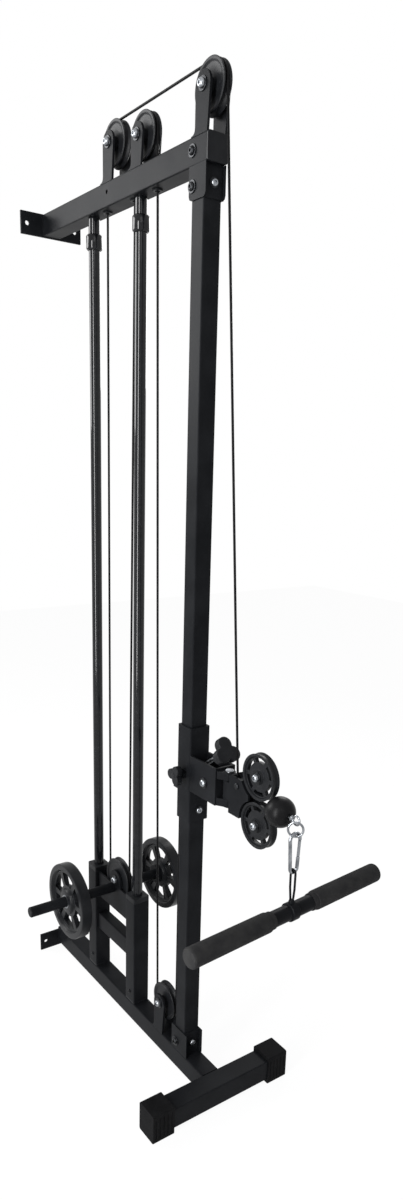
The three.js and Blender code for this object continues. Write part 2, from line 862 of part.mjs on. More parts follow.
// The carriage weldment: two sleeves, a crossbar, the wheel bracket and both weight horns.
function buildCarriage() {
  const sleeveBottom = carriageBottom + seatGap + padThickness + seatGap;
  const length = sleeveTop - sleeveBottom;
  const sleeves = [rearRodReach, frontRodReach].map((reach) => (
    tube(sleeveSide, sleeveSide, tubeWall, length, upward, 0, reach, sleeveBottom)
  ));
  const back = rearRodReach + sleeveSide / 2 - weldOverlap;
  const front = frontRodReach - sleeveSide / 2 + weldOverlap;
  const crossbar = roundedBlock(
    crossbarWidth,
    crossbarHeight,
    tubeCorner,
    front - back,
    forward,
    0,
    back,
    crossbarBottom + crossbarHeight / 2,
  );
  const inner = carriageWheelHalf + runGap + seatGap;
  const drop = carriageBossRadius;
  const shape = new THREE.Shape();
  shape.moveTo(back, bracketTop);
  shape.lineTo(back, bracketBottom);
  shape.lineTo(front, bracketBottom);
  shape.lineTo(front, bracketTop);
  shape.lineTo(carriageWheelReach + drop, bracketTop);
  shape.absarc(carriageWheelReach, carriageWheelHeight, drop, 0, Math.PI, false);
  shape.lineTo(carriageWheelReach - drop, bracketTop);
  shape.closePath();
  const plates = [inner, -inner - bracketThickness].map((x) => (
    pushed(shape, bracketThickness, sideways, x, 0, 0, arcSteps)
  ));
  const root = inner + bracketThickness - weldOverlap;
  const stop = discInner - seatGap - hornStopThickness;
  const horns = [-1, 1].map((sign) => {
    const profile = [
      [0, root],
      [hornRadius, root],
      [hornRadius, stop],
      [hornStopRadius, stop],
      [hornStopRadius, stop + hornStopThickness],
      [hornRadius, stop + hornStopThickness],
      [hornRadius, hornEnd - hornBevel],
      [hornRadius - hornBevel, hornEnd],
      [0, hornEnd],
    ];
    const turnedProfile = profile.map(([radius, along]) => [radius, sign * along]);
    return turned(turnedProfile, rodSides, sideways, 0, hornReach, hornHeight);
  });
  const hole = crossHole(axleRadius, sleeveSide, carriageWheelReach, carriageWheelHeight);
  const body = joined([...sleeves, crossbar, ...plates, ...horns]);
  piece('carriage_frame', 'paint', body.subtract(hole));
}

// A plastic bush in one end of a carriage sleeve.
function bush(reach, top) {
  const plugSide = sleeveSide - 2 * (tubeWall + seatGap);
  const flange = top ? bushTopFlange : padThickness;
  const seat = top ? sleeveTop + seatGap : carriageBottom + seatGap + padThickness;
  const plugStart = top ? seat - bushPlug : seat - weldOverlap;
  const flangeStart = top ? seat : seat - flange;
  const corner = tubeCorner - tubeWall;
  const plug = roundedBlock(plugSide, plugSide, corner, bushPlug + weldOverlap, upward, 0, reach, plugStart);
  const rim = roundedBlock(sleeveSide, sleeveSide, tubeCorner, flange, upward, 0, reach, flangeStart);
  const low = Math.min(plugStart, flangeStart) - cutOverrun;
  const span = bushPlug + flange + 2 * cutOverrun + weldOverlap;
  const bore = bar(rodRadius + runGap, span, upward, 0, reach, low, rodSides);
  return plug.add(rim).subtract(bore);
}

// The loose wheel of the carriage and its axle bolt.
function buildCarriageWheel() {
  const hub = carriageWheelHalf;
  const body = groovedWheel(
    carriageWheelRadius,
    carriageLine,
    carriageWheelHalf,
    hub,
    carriageWheelReach,
    carriageWheelHeight,
  );
  piece('carriage_pulley', 'plastic', body);
  const half = carriageWheelHalf + runGap + seatGap + bracketThickness;
  piece('carriage_pulley_bolt', 'steel', wheelBolt(half, half, carriageWheelReach, carriageWheelHeight));
}

// Kidney openings between two radii, as solids to cut away.
function kidneys(count, inner, outer, halfRib, half, x, reach, height, steps) {
  const cuts = [];
  for (let i = 0; i < count; i += 1) {
    const from = (i / count) * 2 * Math.PI + halfRib;
    const to = ((i + 1) / count) * 2 * Math.PI - halfRib;
    const trim = (halfRib * (outer - inner)) / outer / 2;
    const shape = new THREE.Shape();
    shape.absarc(0, 0, outer, from - trim, to + trim, false);
    shape.absarc(0, 0, inner, to, from, true);
    shape.closePath();
    cuts.push(pushed(shape, 2 * (half + cutOverrun), sideways, x - half - cutOverrun, reach, height, steps));
  }
  return joined(cuts);
}

// A cast weight plate with a deep rim, a web with six openings and a raised hub.
function buildWeightPlate(name, sign) {
  const middle = sign * (discInner + discThickness / 2);
  const rim = discRadius - discRimDepth;
  const right = [
    [hornRadius + runGap, discHubThickness / 2],
    [discHubRadius - discBevel, discHubThickness / 2],
    [discHubRadius, discWeb / 2],
    [rim, discWeb / 2],
    [rim + discBevel, discThickness / 2],
    [discRadius - discBevel, discThickness / 2],
    [discRadius, discThickness / 2 - discBevel],
  ];
  const left = right.map(([radius, along]) => [radius, -along]).reverse();
  const disc = turned([...right, ...left, right[0]], discSides, sideways, middle, hornReach, hornHeight);
  const cuts = kidneys(
    discOpenings,
    discOpeningInner,
    discOpeningOuter,
    discSpokeHalfAngle,
    discThickness,
    middle,
    hornReach,
    hornHeight,
    kidneySteps,
  );
  piece(name, 'iron', disc.subtract(cuts));
}

// A three-lobed knob outline.
function lobeOutline(tip, waist) {
  const shape = new THREE.Shape();
  for (let i = 0; i < knobSteps; i += 1) {
    const angle = (i / knobSteps) * 2 * Math.PI;
    const radius = waist + (tip - waist) * ((1 + Math.cos(3 * angle)) / 2) ** lobeFullness;
    const corner = [-radius * Math.sin(angle), radius * Math.cos(angle)];
    if (i === 0) shape.moveTo(...corner);
    else shape.lineTo(...corner);
  }
  shape.closePath();
  return shape;
}

// A three-lobed knob head along local Z, from its back at zero.
function knobHead(tip, waist, thickness) {
  const head = new THREE.ExtrudeGeometry(lobeOutline(tip - knobBevel, waist - knobBevel), {
    depth: thickness - 2 * knobBevel,
    bevelThickness: knobBevel,
    bevelSize: knobBevel,
    bevelSegments: 1,
  });
  return head.translate(0, 0, knobBevel);
}

// The slider weldment: sleeve, arm cheeks, knob bosses, cable lug and outer hinge knuckles.
function buildSlider() {
  const half = sliderSide / 2;
  const height = sliderTop - sliderBottom;
  const outside = roundedBlock(sliderSide, sliderSide, tubeCorner, height, upward, 0, uprightReach, sliderBottom);
  const face = uprightReach + half;
  const cheeks = [-half, half - armThickness].map((left) => (
    block(left, left + armThickness, face - weldOverlap, armFrontReach, armBottom, armTop)
  ));
  const plate = block(-half, half, armFrontReach - armThickness, armFrontReach, armBottom, armTop);
  const knuckles = [armBottom, hingeTop - knuckleHeight].map((bottom) => knuckle(bottom, knuckleHeight));
  const sideBoss = bar(
    sideBossRadius,
    sideBossLength + weldOverlap,
    sideways,
    -half - sideBossLength,
    uprightReach,
    sideKnobHeight,
  );
  const back = uprightReach - half;
  const lug = block(
    -lugHalfWidth,
    lugHalfWidth,
    lowFront - lugOverhang,
    back + weldOverlap,
    lugBottom,
    lugBottom + lugThickness,
  );
  const lockBoss = tilted(bar(
    lockBossRadius,
    lockBossLength,
    upward,
    0,
    0,
    lockStart(face) - weldOverlap * lockBossRadius,
  ));
  const body = joined([outside, ...cheeks, plate, ...knuckles, sideBoss, lug, lockBoss]);
  const room = uprightSide + 2 * sliderGap;
  const bore = roundedBlock(
    room,
    room,
    tubeCorner,
    height + 2 * cutOverrun,
    upward,
    0,
    uprightReach,
    sliderBottom - cutOverrun,
  );
  const screw = knobScrewRadius + seatGap;
  const sideHole = bar(
    screw,
    half + sideBossLength,
    sideways,
    -half - sideBossLength - cutOverrun,
    uprightReach,
    sideKnobHeight,
  );
  const lockHole = tilted(bar(screw, lockHoleLength(), upward, 0, 0, lockStart(uprightReach)));
  const pin = bar(
    hingePinRadius + seatGap,
    hingeTop - armBottom + 2 * cutOverrun,
    upward,
    0,
    hingeReach,
    armBottom - cutOverrun,
  );
  const lugHole = bar(
    cableRadius + seatGap,
    lugThickness + 2 * cutOverrun,
    upward,
    0,
    lowFront,
    lugBottom - cutOverrun,
    smallSides,
  );
  const armBolt = crossHole(armBoltRadius, half, armBoltReach, armBoltHeight);
  const cuts = joined([bore, sideHole, lockHole, pin, lugHole, armBolt]);
  piece('slider', 'paint', body.subtract(cuts));
}

// A fixed hinge knuckle: round at the pin and wide where it meets the arm.
function knuckle(bottom, height) {
  const shape = new THREE.Shape();
  shape.moveTo(-knuckleRoot, armFrontReach - weldOverlap);
  shape.lineTo(-knuckleRadius, hingeReach);
  shape.absarc(0, hingeReach, knuckleRadius, Math.PI, 0, true);
  shape.lineTo(knuckleRoot, armFrontReach - weldOverlap);
  shape.closePath();
  return pushed(shape, height, upward, 0, 0, bottom, arcSteps);
}

// Distance along the tilted screw's axis, from the knob's back, at which it meets a reach.
function lockStart(reach) {
  return (reach - lockKnobReach) / Math.cos(tilt);
}

// Length of the hole for the tilted screw, past its boss.
function lockHoleLength() {
  const face = uprightReach + sliderSide / 2;
  return lockStart(face) + lockBossLength + cutOverrun - lockStart(uprightReach);
}

// Turns a solid made on local Z onto the tilted screw's axis.
function tilted(body) {
  const geometry = geometryOf(body);
  return solid(laidTilted(geometry));
}

// The same turn for a geometry.
function laidTilted(geometry) {
  const out = new THREE.Vector3(0, -Math.cos(tilt), Math.sin(tilt));
  const right = new THREE.Vector3(1, 0, 0);
  const up = new THREE.Vector3().crossVectors(out, right);
  const place = new THREE.Matrix4().makeBasis(right, up, out);
  return geometry.clone().applyMatrix4(place.setPosition(0, -lockKnobReach, lockKnobHeight));
}

// The tilted locking knob with its neck and screw.
function buildLockKnob() {
  const tipReach = uprightReach + uprightSide / 2 + seatGap;
  const rise = knobScrewRadius * Math.tan(tilt);
  const end = lockStart(tipReach) + rise + seatGap;
  const screw = solid(laidTilted(new THREE.CylinderGeometry(
    knobScrewRadius,
    knobScrewRadius,
    -end + lockKnobThickness / 2,
    roundSides,
  ).rotateX(Math.PI / 2).translate(0, 0, (end + lockKnobThickness / 2) / 2)));
  const neck = solid(laidTilted(new THREE.CylinderGeometry(
    lockNeckRadius,
    lockNeckRadius,
    lockNeckLength + knobBevel,
    roundSides,
  ).rotateX(Math.PI / 2).translate(0, 0, (knobBevel - lockNeckLength) / 2)));
  const head = solid(laidTilted(knobHead(lockKnobTip, lockKnobWaist, lockKnobThickness)));
  piece('lock_knob', 'plastic', joined([screw, neck, head]));
}

// The side clamp knob with its neck and screw.
function buildSideKnob() {
  const boss = sliderSide / 2 + sideBossLength;
  const start = -(boss + seatGap + sideKnobNeck);
  const flipped = [[0, 1, 0], [0, 0, 1], [-1, 0, 0]];
  const head = solid(laid(
    knobHead(sideKnobTip, sideKnobWaist, sideKnobThickness),
    flipped,
    start,
    uprightReach,
    sideKnobHeight,
  ));
  const neck = bar(
    sideKnobWaist,
    sideKnobNeck + knobBevel,
    sideways,
    start - knobBevel,
    uprightReach,
    sideKnobHeight,
  );
  const screwEnd = -(uprightSide / 2 + seatGap);
  const screw = bar(
    knobScrewRadius,
    screwEnd - start + knobBevel,
    sideways,
    start - knobBevel,
    uprightReach,
    sideKnobHeight,
  );
  piece('side_clamp_knob', 'plastic', joined([head, neck, screw]));
}

// The stop on the end of the cable, above the slider's lug.
function buildAnchorFerrule() {
  const body = bar(
    ferruleRadius,
    ferruleLength,
    upward,
    0,
    lowFront,
    lugBottom + lugThickness + seatGap,
    smallSides,
  );
  piece('cable_anchor_ferrule', 'steel', body);
}

// The hinge pin of the yoke, with a flat head on top.
function buildHingePin() {
  const length = hingeTop - armBottom;
  const foot = armBottom - seatGap - hingeHeadHeight;
  const body = turned([
    [0, 0],
    [hingeHeadRadius * hingeFootShare, 0],
    [hingeHeadRadius * hingeFootShare, hingeHeadHeight],
    [hingePinRadius, hingeHeadHeight],
    [hingePinRadius, hingeHeadHeight + length + 2 * seatGap],
    [hingeHeadRadius, hingeHeadHeight + length + 2 * seatGap],
    [hingeHeadRadius, 2 * hingeHeadHeight + length + 2 * seatGap],
    [0, 2 * hingeHeadHeight + length + 2 * seatGap],
  ], roundSides, upward, 0, hingeReach, foot);
  piece('yoke_hinge_pin', 'steel', body);
}

// The yoke: a block with hollow curves round both wheels and one cheek behind them.
function buildYoke() {
  const cheekInner = yokeFar - yokeCheek;
  const clear = yokeWheelRadius + yokeWheelClear;
  const core = block(-yokeNear, yokeFar, yokeBack, yokeNose, yokeBottom, hingeTop);
  const rounds = [yokeUpperHeight, yokeLowerHeight].map((height) => bar(
    clear,
    2 * yokeNear + cheekInner,
    sideways,
    -2 * yokeNear,
    yokeWheelReach,
    height,
    2 * wheelSides,
  ));
  const middleBottom = armBottom + knuckleHeight + runGap;
  const middleTop = hingeTop - knuckleHeight - runGap;
  const barrel = bar(knuckleRadius, middleTop - middleBottom, upward, 0, hingeReach, middleBottom);
  const link = block(-yokeNear, yokeNear, hingeReach, yokeBack + weldOverlap, middleBottom, middleTop);
  const cheek = pushed(cheekOutline(), yokeCheek, sideways, cheekInner, 0, 0, arcSteps);
  const pocketTop = hingeTop + cutOverrun;
  const pocket = block(-pocketHalf, pocketHalf, pocketBack, yokeNose + cutOverrun, pocketFloor, pocketTop);
  const holes = [
    bar(hingePinRadius + seatGap, hingeTop, upward, 0, hingeReach, 0),
    crossHole(rollerPinRadius, yokeFar, rollerReach, rollerHeight),
    crossHole(axleRadius, yokeFar, yokeWheelReach, yokeUpperHeight),
    crossHole(axleRadius, yokeFar, yokeWheelReach, yokeLowerHeight),
  ];
  const body = core.subtract(joined(rounds)).subtract(pocket);
  piece('swivel_yoke', 'paint', joined([body, barrel, link, cheek]).subtract(joined(holes)));
}

// Outline of the yoke's far cheek: two lobes on the axles and a waist between them.
function cheekOutline() {
  const shape = new THREE.Shape();
  const lobe = yokeLobeRadius;
  shape.moveTo(yokeBack, yokeBottom);
  shape.lineTo(yokeBack, hingeTop);
  shape.lineTo(yokeWheelReach - lobe / 2, yokeUpperHeight + lobe * Math.sin(Math.PI / 3));
  shape.absarc(yokeWheelReach, yokeUpperHeight, lobe, Math.PI / 1.5, -Math.PI / 4, true);
  const corner = lobe * Math.SQRT1_2;
  shape.quadraticCurveTo(yokeNeckReach, cableHeight, yokeWheelReach + corner, yokeLowerHeight + corner);
  shape.absarc(yokeWheelReach, yokeLowerHeight, lobe, Math.PI / 4, -Math.PI / 1.5, true);
  shape.closePath();
  return shape;
}

// A slotted guide wheel of the yoke.
function buildYokeWheel(name, height) {
  const floor = yokeWheelRadius - yokeWheelInset;
  const rim = rimSlotOuter + (floor - rimSlotOuter) / 4;
  const hub = yokeFar - yokeCheek - runGap;
  const right = [
    [axleRadius + seatGap, hub],
    [hubRadius, hub],
    [hubRadius + hubTaper, webHalf],
    [rim - rimTaper, webHalf],
    [rim, yokeWheelHalf],
    [yokeWheelRadius, yokeWheelHalf],
    [floor, grooveFloorHalf],
  ];
  const left = right.map(([radius, along]) => [radius, -along]).reverse();
  const wheel = turned([...right, ...left, right[0]], wheelSides, sideways, 0, yokeWheelReach, height);
  const slots = kidneys(
    rimSlotCount,
    rimSlotInner,
    rimSlotOuter,
    rimSlotHalfRib,
    yokeWheelHalf,
    0,
    yokeWheelReach,
    height,
    kidneySteps,
  );
  piece(name, 'plastic', wheel.subtract(slots));
  piece(`${name}_bolt`, 'steel', wheelBolt(yokeFar - yokeCheek, yokeFar, yokeWheelReach, height));
}

// The small roller inside the yoke and its pin.
function buildRoller() {
  const floor = rollerLineRadius - cableRadius - seatGap;
  const right = [
    [rollerPinRadius + seatGap, rollerHalf],
    [rollerRadius, rollerHalf],
    [rollerRadius, rollerGrooveHalf],
    [floor, grooveFloorHalf],
  ];
  const left = right.map(([radius, along]) => [radius, -along]).reverse();
  const roller = turned([...right, ...left, right[0]], rodSides, sideways, 0, rollerReach, rollerHeight);
  piece('yoke_guide_roller', 'plastic', roller);
  const pin = turned([
    [0, -yokeNear - hingeHeadHeight],
    [2 * rollerPinRadius, -yokeNear - hingeHeadHeight],
    [2 * rollerPinRadius, -yokeNear - seatGap],
    [rollerPinRadius, -yokeNear - seatGap],
    [rollerPinRadius, yokeFar],
    [0, yokeFar],
  ], smallSides, sideways, 0, rollerReach, rollerHeight);
  piece('yoke_roller_pin', 'steel', pin);
}

// The rubber stop ball, bored for the cable and flat at both ends.
function buildBall() {
  const bore = cableRadius + seatGap;
  const flat = ballRadius - ballFlat / 2;
  const profile = [[bore, -flat]];
  const steps = arcSteps + 2;
  const from = -Math.acos(Math.sqrt(1 - (flat / ballRadius) ** 2));
  for (let i = 0; i <= steps; i += 1) {
    const angle = from + (i / steps) * -2 * from;
    profile.push([ballRadius * Math.cos(angle), ballRadius * Math.sin(angle)]);
  }
  profile.push([bore, flat], [bore, -flat]);
  piece('stop_ball', 'rubber', turned(profile, rodSides, forward, 0, ballReach, cableHeight));
}

// A closed ring of round wire whose plane is turned about the vertical.
function wireRing(radius, thickness, turn, reach, height) {
  const ring = new THREE.TorusGeometry(radius, thickness, cableSides, rodSides);
  ring.rotateX(Math.PI / 2).rotateZ(-turn);
  return solid(ring.translate(0, -reach, height));
}

const ballFront = ballReach + ballRadius - ballFlat / 2;
const ferruleStart = ballFront + seatGap;
const eyeReach = ferruleStart + endFerruleLength + eyeRadius;
const eyeBottom = cableHeight - eyeRadius;
const ringHeight = eyeBottom + eyeWire + linkGap + ringWire - ringRadius;
const hookTop = ringHeight - ringRadius + ringWire + linkGap + hookWire;
const hookUpper = hookTop - hookTopRadius;
const hookLower = hookUpper - hookSpan;
const barHeight = hookLower - barDrop;
const hookBottom = hookLower - hookBottomRadius;
const tabTop = hookBottom + hookWire + linkGap + tabHoleEdge;

// The swaged ferrule and eye on the end of the cable.
function buildCableEye() {
  const ferrule = bar(endFerruleRadius, endFerruleLength, forward, 0, ferruleStart, cableHeight, smallSides);
  const eye = new THREE.TorusGeometry(eyeRadius, eyeWire, cableSides, rodSides).rotateY(Math.PI / 2);
  const loop = solid(eye.translate(0, -eyeReach, cableHeight));
  piece('cable_end_eye', 'steel', ferrule.add(loop));
}

// The loose ring between the cable's eye and the hook.
function buildRing() {
  const body = wireRing(ringRadius, ringWire, THREE.MathUtils.degToRad(ringTurn), eyeReach, ringHeight);
  piece('pull_ring', 'steel', body);
}

// A point of the hook's plane, which faces forward.
function hookPoint(x, height) {
  return new THREE.Vector3(x, -eyeReach, height);
}

// Arc stations in the hook's plane, angles from +X towards up.
function hookArc(height, radius, from, to) {
  const stations = [];
  const steps = 2 * arcSteps;
  for (let i = 0; i <= steps; i += 1) {
    const angle = THREE.MathUtils.degToRad(from + ((to - from) * i) / steps);
    stations.push(hookPoint(radius * Math.cos(angle), height + radius * Math.sin(angle)));
  }
  return stations;
}

// Where the hook's right leg is at a share of its length, from its lower end.
function legPoint(share) {
  const x = hookBottomRadius + (hookTopRadius - hookBottomRadius) * share;
  return hookPoint(x, hookLower + hookSpan * share);
}

// The snap hook and its sprung gate, which is the upper part of the right leg.
function buildHook() {
  const gateShare = gateLength / hookSpan;
  const hingeShare = gateNoseShare - gateShare;
  const stations = [
    legPoint(gateNoseShare),
    ...hookArc(hookUpper, hookTopRadius, 0, 180),
    ...hookArc(hookLower, hookBottomRadius, 180, 360),
    legPoint(hingeShare),
  ];
  piece('snap_hook', 'steel', wire(hookWire, stations));
  const gate = wire(gateWire, [
    legPoint(hingeShare + gateHingeGap / hookSpan),
    legPoint(gateNoseShare - gateNoseGap / hookSpan),
  ]);
  piece('hook_gate', 'steel', gate);
}

// The hand bar with its centre tab and both foam grips, turned a little about the vertical.
function buildHandBar() {
  const turn = THREE.MathUtils.degToRad(barTurn);
  const turnAndPlace = (body) => {
    const geometry = geometryOf(body).rotateZ(turn).translate(0, -eyeReach, barHeight);
    return solid(geometry);
  };
  const inside = barRadius - barWall;
  const hollowBar = bar(barRadius, 2 * barHalf, sideways, -barHalf, 0, 0, rodSides)
    .subtract(bar(inside, 2 * (barHalf + cutOverrun), sideways, -barHalf - cutOverrun, 0, 0, rodSides));
  const collar = bar(barCollarRadius, 2 * barCollarHalf, sideways, -barCollarHalf, 0, 0, rodSides)
    .subtract(bar(inside, 4 * barCollarHalf, sideways, -2 * barCollarHalf, 0, 0, rodSides));
  const tabShape = new THREE.Shape();
  const tabMiddle = tabTop - tabHoleRadius - tabHoleEdge - barHeight;
  tabShape.moveTo(-tabHalfWidth, barRadius - weldOverlap);
  tabShape.lineTo(tabHalfWidth, barRadius - weldOverlap);
  tabShape.lineTo(tabHalfWidth, tabMiddle);
  tabShape.absarc(0, tabMiddle, tabHalfWidth, 0, Math.PI, false);
  tabShape.closePath();
  const hole = new THREE.Path();
  hole.absarc(0, tabMiddle, tabHoleRadius, 0, 2 * Math.PI, true);
  tabShape.holes.push(hole);
  const tab = pushed(tabShape, tabThickness, sideways, -tabThickness / 2, 0, 0, arcSteps);
  piece('hand_bar', 'paint', turnAndPlace(joined([hollowBar, collar, tab])));
  const end = barHalf + seatGap;
  const bore = barRadius + seatGap;
  [['left', -1], ['right', 1]].forEach(([name, sign]) => {
    const profile = [
      [0, end],
      [0, end + gripEndWall],
      [gripRadius - gripBevel, end + gripEndWall],
      [gripRadius, end + gripEndWall - gripBevel],
      [gripRadius, gripInner + gripBevel],
      [gripRadius - gripBevel, gripInner],
      [bore, gripInner],
      [bore, end],
      [0, end],
    ].map(([radius, along]) => [radius, sign * along]);
    piece(`foam_grip_${name}`, 'foam', turnAndPlace(turned(profile, rodSides, sideways, 0, 0, 0)));
  });
}

// The cable in the stretches that stay, shorten or travel.
function buildCable() {
  const slope = Math.atan2(frontWheelHeight - rearWheelHeight, frontWheelReach - rearWheelReach);
  const leave = 90 + THREE.MathUtils.radToDeg(slope);
  const over = [
    ...arcStations(frontWheelReach, frontWheelHeight, cableLine, 0, leave),
    ...arcStations(rearWheelReach, rearWheelHeight, cableLine, leave, 180),
  ];
  piece('cable_top_run', 'cable', wire(cableRadius, over));
  const rear = [
    stationAt(rearLine, rearWheelHeight - seatGap),
    stationAt(carriageRear, carriageWheelHeight + seatGap),
  ];
  piece('cable_rear_run', 'cable', wire(cableRadius, rear));
  const under = arcStations(carriageWheelReach, carriageWheelHeight, carriageLine, 180, 360, 2 * arcSteps);
  piece('cable_carriage_bend', 'cable', wire(cableRadius, under));
  const rising = [
    stationAt(carriageFront, carriageWheelHeight + seatGap),
    stationAt(middleBack, middleWheelHeight - seatGap),
  ];
  piece('cable_rising_run', 'cable', wire(cableRadius, rising));
  const low = [
    ...arcStations(middleWheelReach, middleWheelHeight, cableLine, 180, 0, 2 * arcSteps),
    ...arcStations(lowWheelReach, lowWheelHeight, cableLine, 180, 360, 2 * arcSteps),
  ];
  piece('cable_low_run', 'cable', wire(cableRadius, low));
  const back = [
    stationAt(lowFront, lowWheelHeight + seatGap),
    stationAt(lowFront, lugBottom + lugThickness),
  ];
  piece('cable_return_run', 'cable', wire(cableRadius, back));
  const front = [
    stationAt(frontLine, frontWheelHeight - seatGap),
    stationAt(entryReach, hingeTop + seatGap),
  ];
  piece('cable_front_run', 'cable', wire(cableRadius, front));
  const turn = [
    stationAt(entryReach, hingeTop),
    ...arcStations(rollerReach, rollerHeight, rollerLineRadius, 180, 270),
    stationAt(yokeNeckReach - rollerRadius, cableHeight),
  ];
  piece('cable_yoke_bend', 'cable', wire(cableRadius, turn));
  const pull = [
    stationAt(yokeNeckReach - rollerRadius + seatGap, cableHeight),
    stationAt(ballFront, cableHeight),
  ];
  piece('cable_pull_run', 'cable', wire(cableRadius, pull));
}

buildBase();
buildFootCap('foot_cap_left', -1);
buildFootCap('foot_cap_right', 1);
buildUpright();
buildBoom();
buildBoomCap();
buildGuideRod('rear', rearRodReach);
buildGuideRod('front', frontRodReach);
buildFrameWheel('top_pulley_front', frontWheelReach, frontWheelHeight);
buildFrameWheel('top_pulley_middle', middleWheelReach, middleWheelHeight);
buildFrameWheel('top_pulley_rear', rearWheelReach, rearWheelHeight);
buildFrameWheel('low_pulley', lowWheelReach, lowWheelHeight);
piece('boom_bolt', 'steel', frameBolt(boomWidth / 2, boomBoltReach, boomBoltHeight));
piece('top_socket_bolt', 'steel', frameBolt(socketOuter, topSideBoltReach, topSideBoltHeight));
piece('base_socket_bolt', 'steel', frameBolt(socketOuter, baseSideBoltReach, baseSideBoltHeight));
buildCarriage();
piece('sleeve_bush_rear_top', 'plastic', bush(rearRodReach, true));
piece('sleeve_bush_front_top', 'plastic', bush(frontRodReach, true));
piece('sleeve_bush_rear_bottom', 'plastic', bush(rearRodReach, false));
piece('sleeve_bush_front_bottom', 'plastic', bush(frontRodReach, false));
buildCarriageWheel();
buildWeightPlate('weight_plate_left', -1);
buildWeightPlate('weight_plate_right', 1);
buildSlider();
buildSideKnob();
buildLockKnob();
piece('arm_bolt', 'steel', frameBolt(sliderSide / 2, armBoltReach, armBoltHeight));
buildAnchorFerrule();
buildHingePin();
buildYoke();
buildYokeWheel('swivel_wheel_upper', yokeUpperHeight);
buildYokeWheel('swivel_wheel_lower', yokeLowerHeight);
buildRoller();
buildBall();
buildCableEye();
buildRing();
buildHook();
buildHandBar();
buildCable();

export default tower;
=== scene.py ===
# %% [markdown]
# A cable tower for one wall: a loose-plate carriage on two glossy rods, a square upright with a
# sliding pulley arm, and a hand bar on a snap hook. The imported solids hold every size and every
# joint. This script gives them their finish and swaps the faceted turned parts for fine ones.

# %% The frame
import bpy
import json
import math
from mathutils import Matrix, Vector


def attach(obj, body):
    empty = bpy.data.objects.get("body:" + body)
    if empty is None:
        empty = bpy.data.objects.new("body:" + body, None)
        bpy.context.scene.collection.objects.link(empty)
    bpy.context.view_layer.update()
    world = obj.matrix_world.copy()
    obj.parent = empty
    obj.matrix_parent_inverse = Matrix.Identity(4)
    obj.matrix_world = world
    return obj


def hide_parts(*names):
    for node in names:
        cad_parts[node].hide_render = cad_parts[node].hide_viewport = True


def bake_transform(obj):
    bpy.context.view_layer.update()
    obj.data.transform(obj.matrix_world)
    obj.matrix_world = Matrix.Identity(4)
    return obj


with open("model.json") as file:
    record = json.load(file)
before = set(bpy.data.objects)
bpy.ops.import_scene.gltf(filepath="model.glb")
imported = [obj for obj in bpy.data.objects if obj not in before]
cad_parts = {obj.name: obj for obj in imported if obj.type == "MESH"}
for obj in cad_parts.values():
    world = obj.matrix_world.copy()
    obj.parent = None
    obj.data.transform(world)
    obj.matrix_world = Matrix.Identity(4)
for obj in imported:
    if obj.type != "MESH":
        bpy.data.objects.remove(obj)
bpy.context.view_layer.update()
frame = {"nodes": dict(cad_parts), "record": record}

# %% [markdown]
# The drawings of such a tower are in millimetres from the wall and from the floor, so places here
# are written the same way: x to the right, reach from the wall, height above the floor. The frame's
# own origin is the middle of the lower wall plate's back face, a little above the floor.

# %% Places in millimetres
MM = 0.001
ORIGIN_HEIGHT = 25


def at(x, reach, height):
    """A place of the tower as a point of the frame, in metres."""
    return Vector((x, -reach, height - ORIGIN_HEIGHT)) * MM


# %% [markdown]
# The camera was solved from points and straight edges of the photograph: a short lens in front of
# the tower, on its left and at two thirds of its height, looking down a little. Its picture is
# taller than wide, so the sensor is fitted to the height, and a small shift puts the optical axis
# where the photograph has it.

# %% Camera
PICTURE_WIDE, PICTURE_HIGH = 403, 1200
FOCAL_PX = 818.44
AXIS_PX = (216.04, 679.96)
YAW, PITCH, ROLL = 0.6377, -0.2568, 0.0304
CAMERA_X, CAMERA_REACH, CAMERA_HEIGHT = -956.504, 2019.844, 1407.007
SENSOR_MM = 36.0
NEAREST_M = 0.05

bpy.ops.object.select_all(action="DESELECT")
bpy.ops.object.camera_add(location=at(CAMERA_X, CAMERA_REACH, CAMERA_HEIGHT))
camera = bpy.context.object
flat = math.cos(PITCH)
forward = Vector((math.sin(YAW) * flat, math.cos(YAW) * flat, math.sin(PITCH)))
level = Vector((math.cos(YAW), -math.sin(YAW), 0))
raised = level.cross(forward)
right = level * math.cos(ROLL) + raised * math.sin(ROLL)
up = -level * math.sin(ROLL) + raised * math.cos(ROLL)
camera.rotation_euler = Matrix((right, up, -forward)).transposed().to_euler()
camera.data.sensor_fit = "VERTICAL"
camera.data.sensor_height = SENSOR_MM
camera.data.lens = FOCAL_PX / PICTURE_HIGH * SENSOR_MM
camera.data.shift_x = (PICTURE_WIDE / 2 - AXIS_PX[0]) / PICTURE_HIGH
camera.data.shift_y = (AXIS_PX[1] - PICTURE_HIGH / 2) / PICTURE_HIGH
camera.data.clip_start = NEAREST_M
bpy.context.scene.camera = camera
bpy.context.scene.view_settings.view_transform = "Standard"
print("lens, mm:", round(camera.data.lens, 2))

# %% [markdown]
# A finish is a small graph of nodes. One function adds a node with its settings and links, and one
# turns a hex colour, as a paint card gives it, into the linear numbers that the shader wants.

# %% Helpers for finishes
def linear(code):
    """A hex sRGB colour as linear RGBA."""
    parts = [int(code[i:i + 2], 16) / 255 for i in (0, 2, 4)]
    shades = [c / 12.92 if c <= 0.04045 else ((c + 0.055) / 1.055) ** 2.4 for c in parts]
    return (*shades, 1.0)


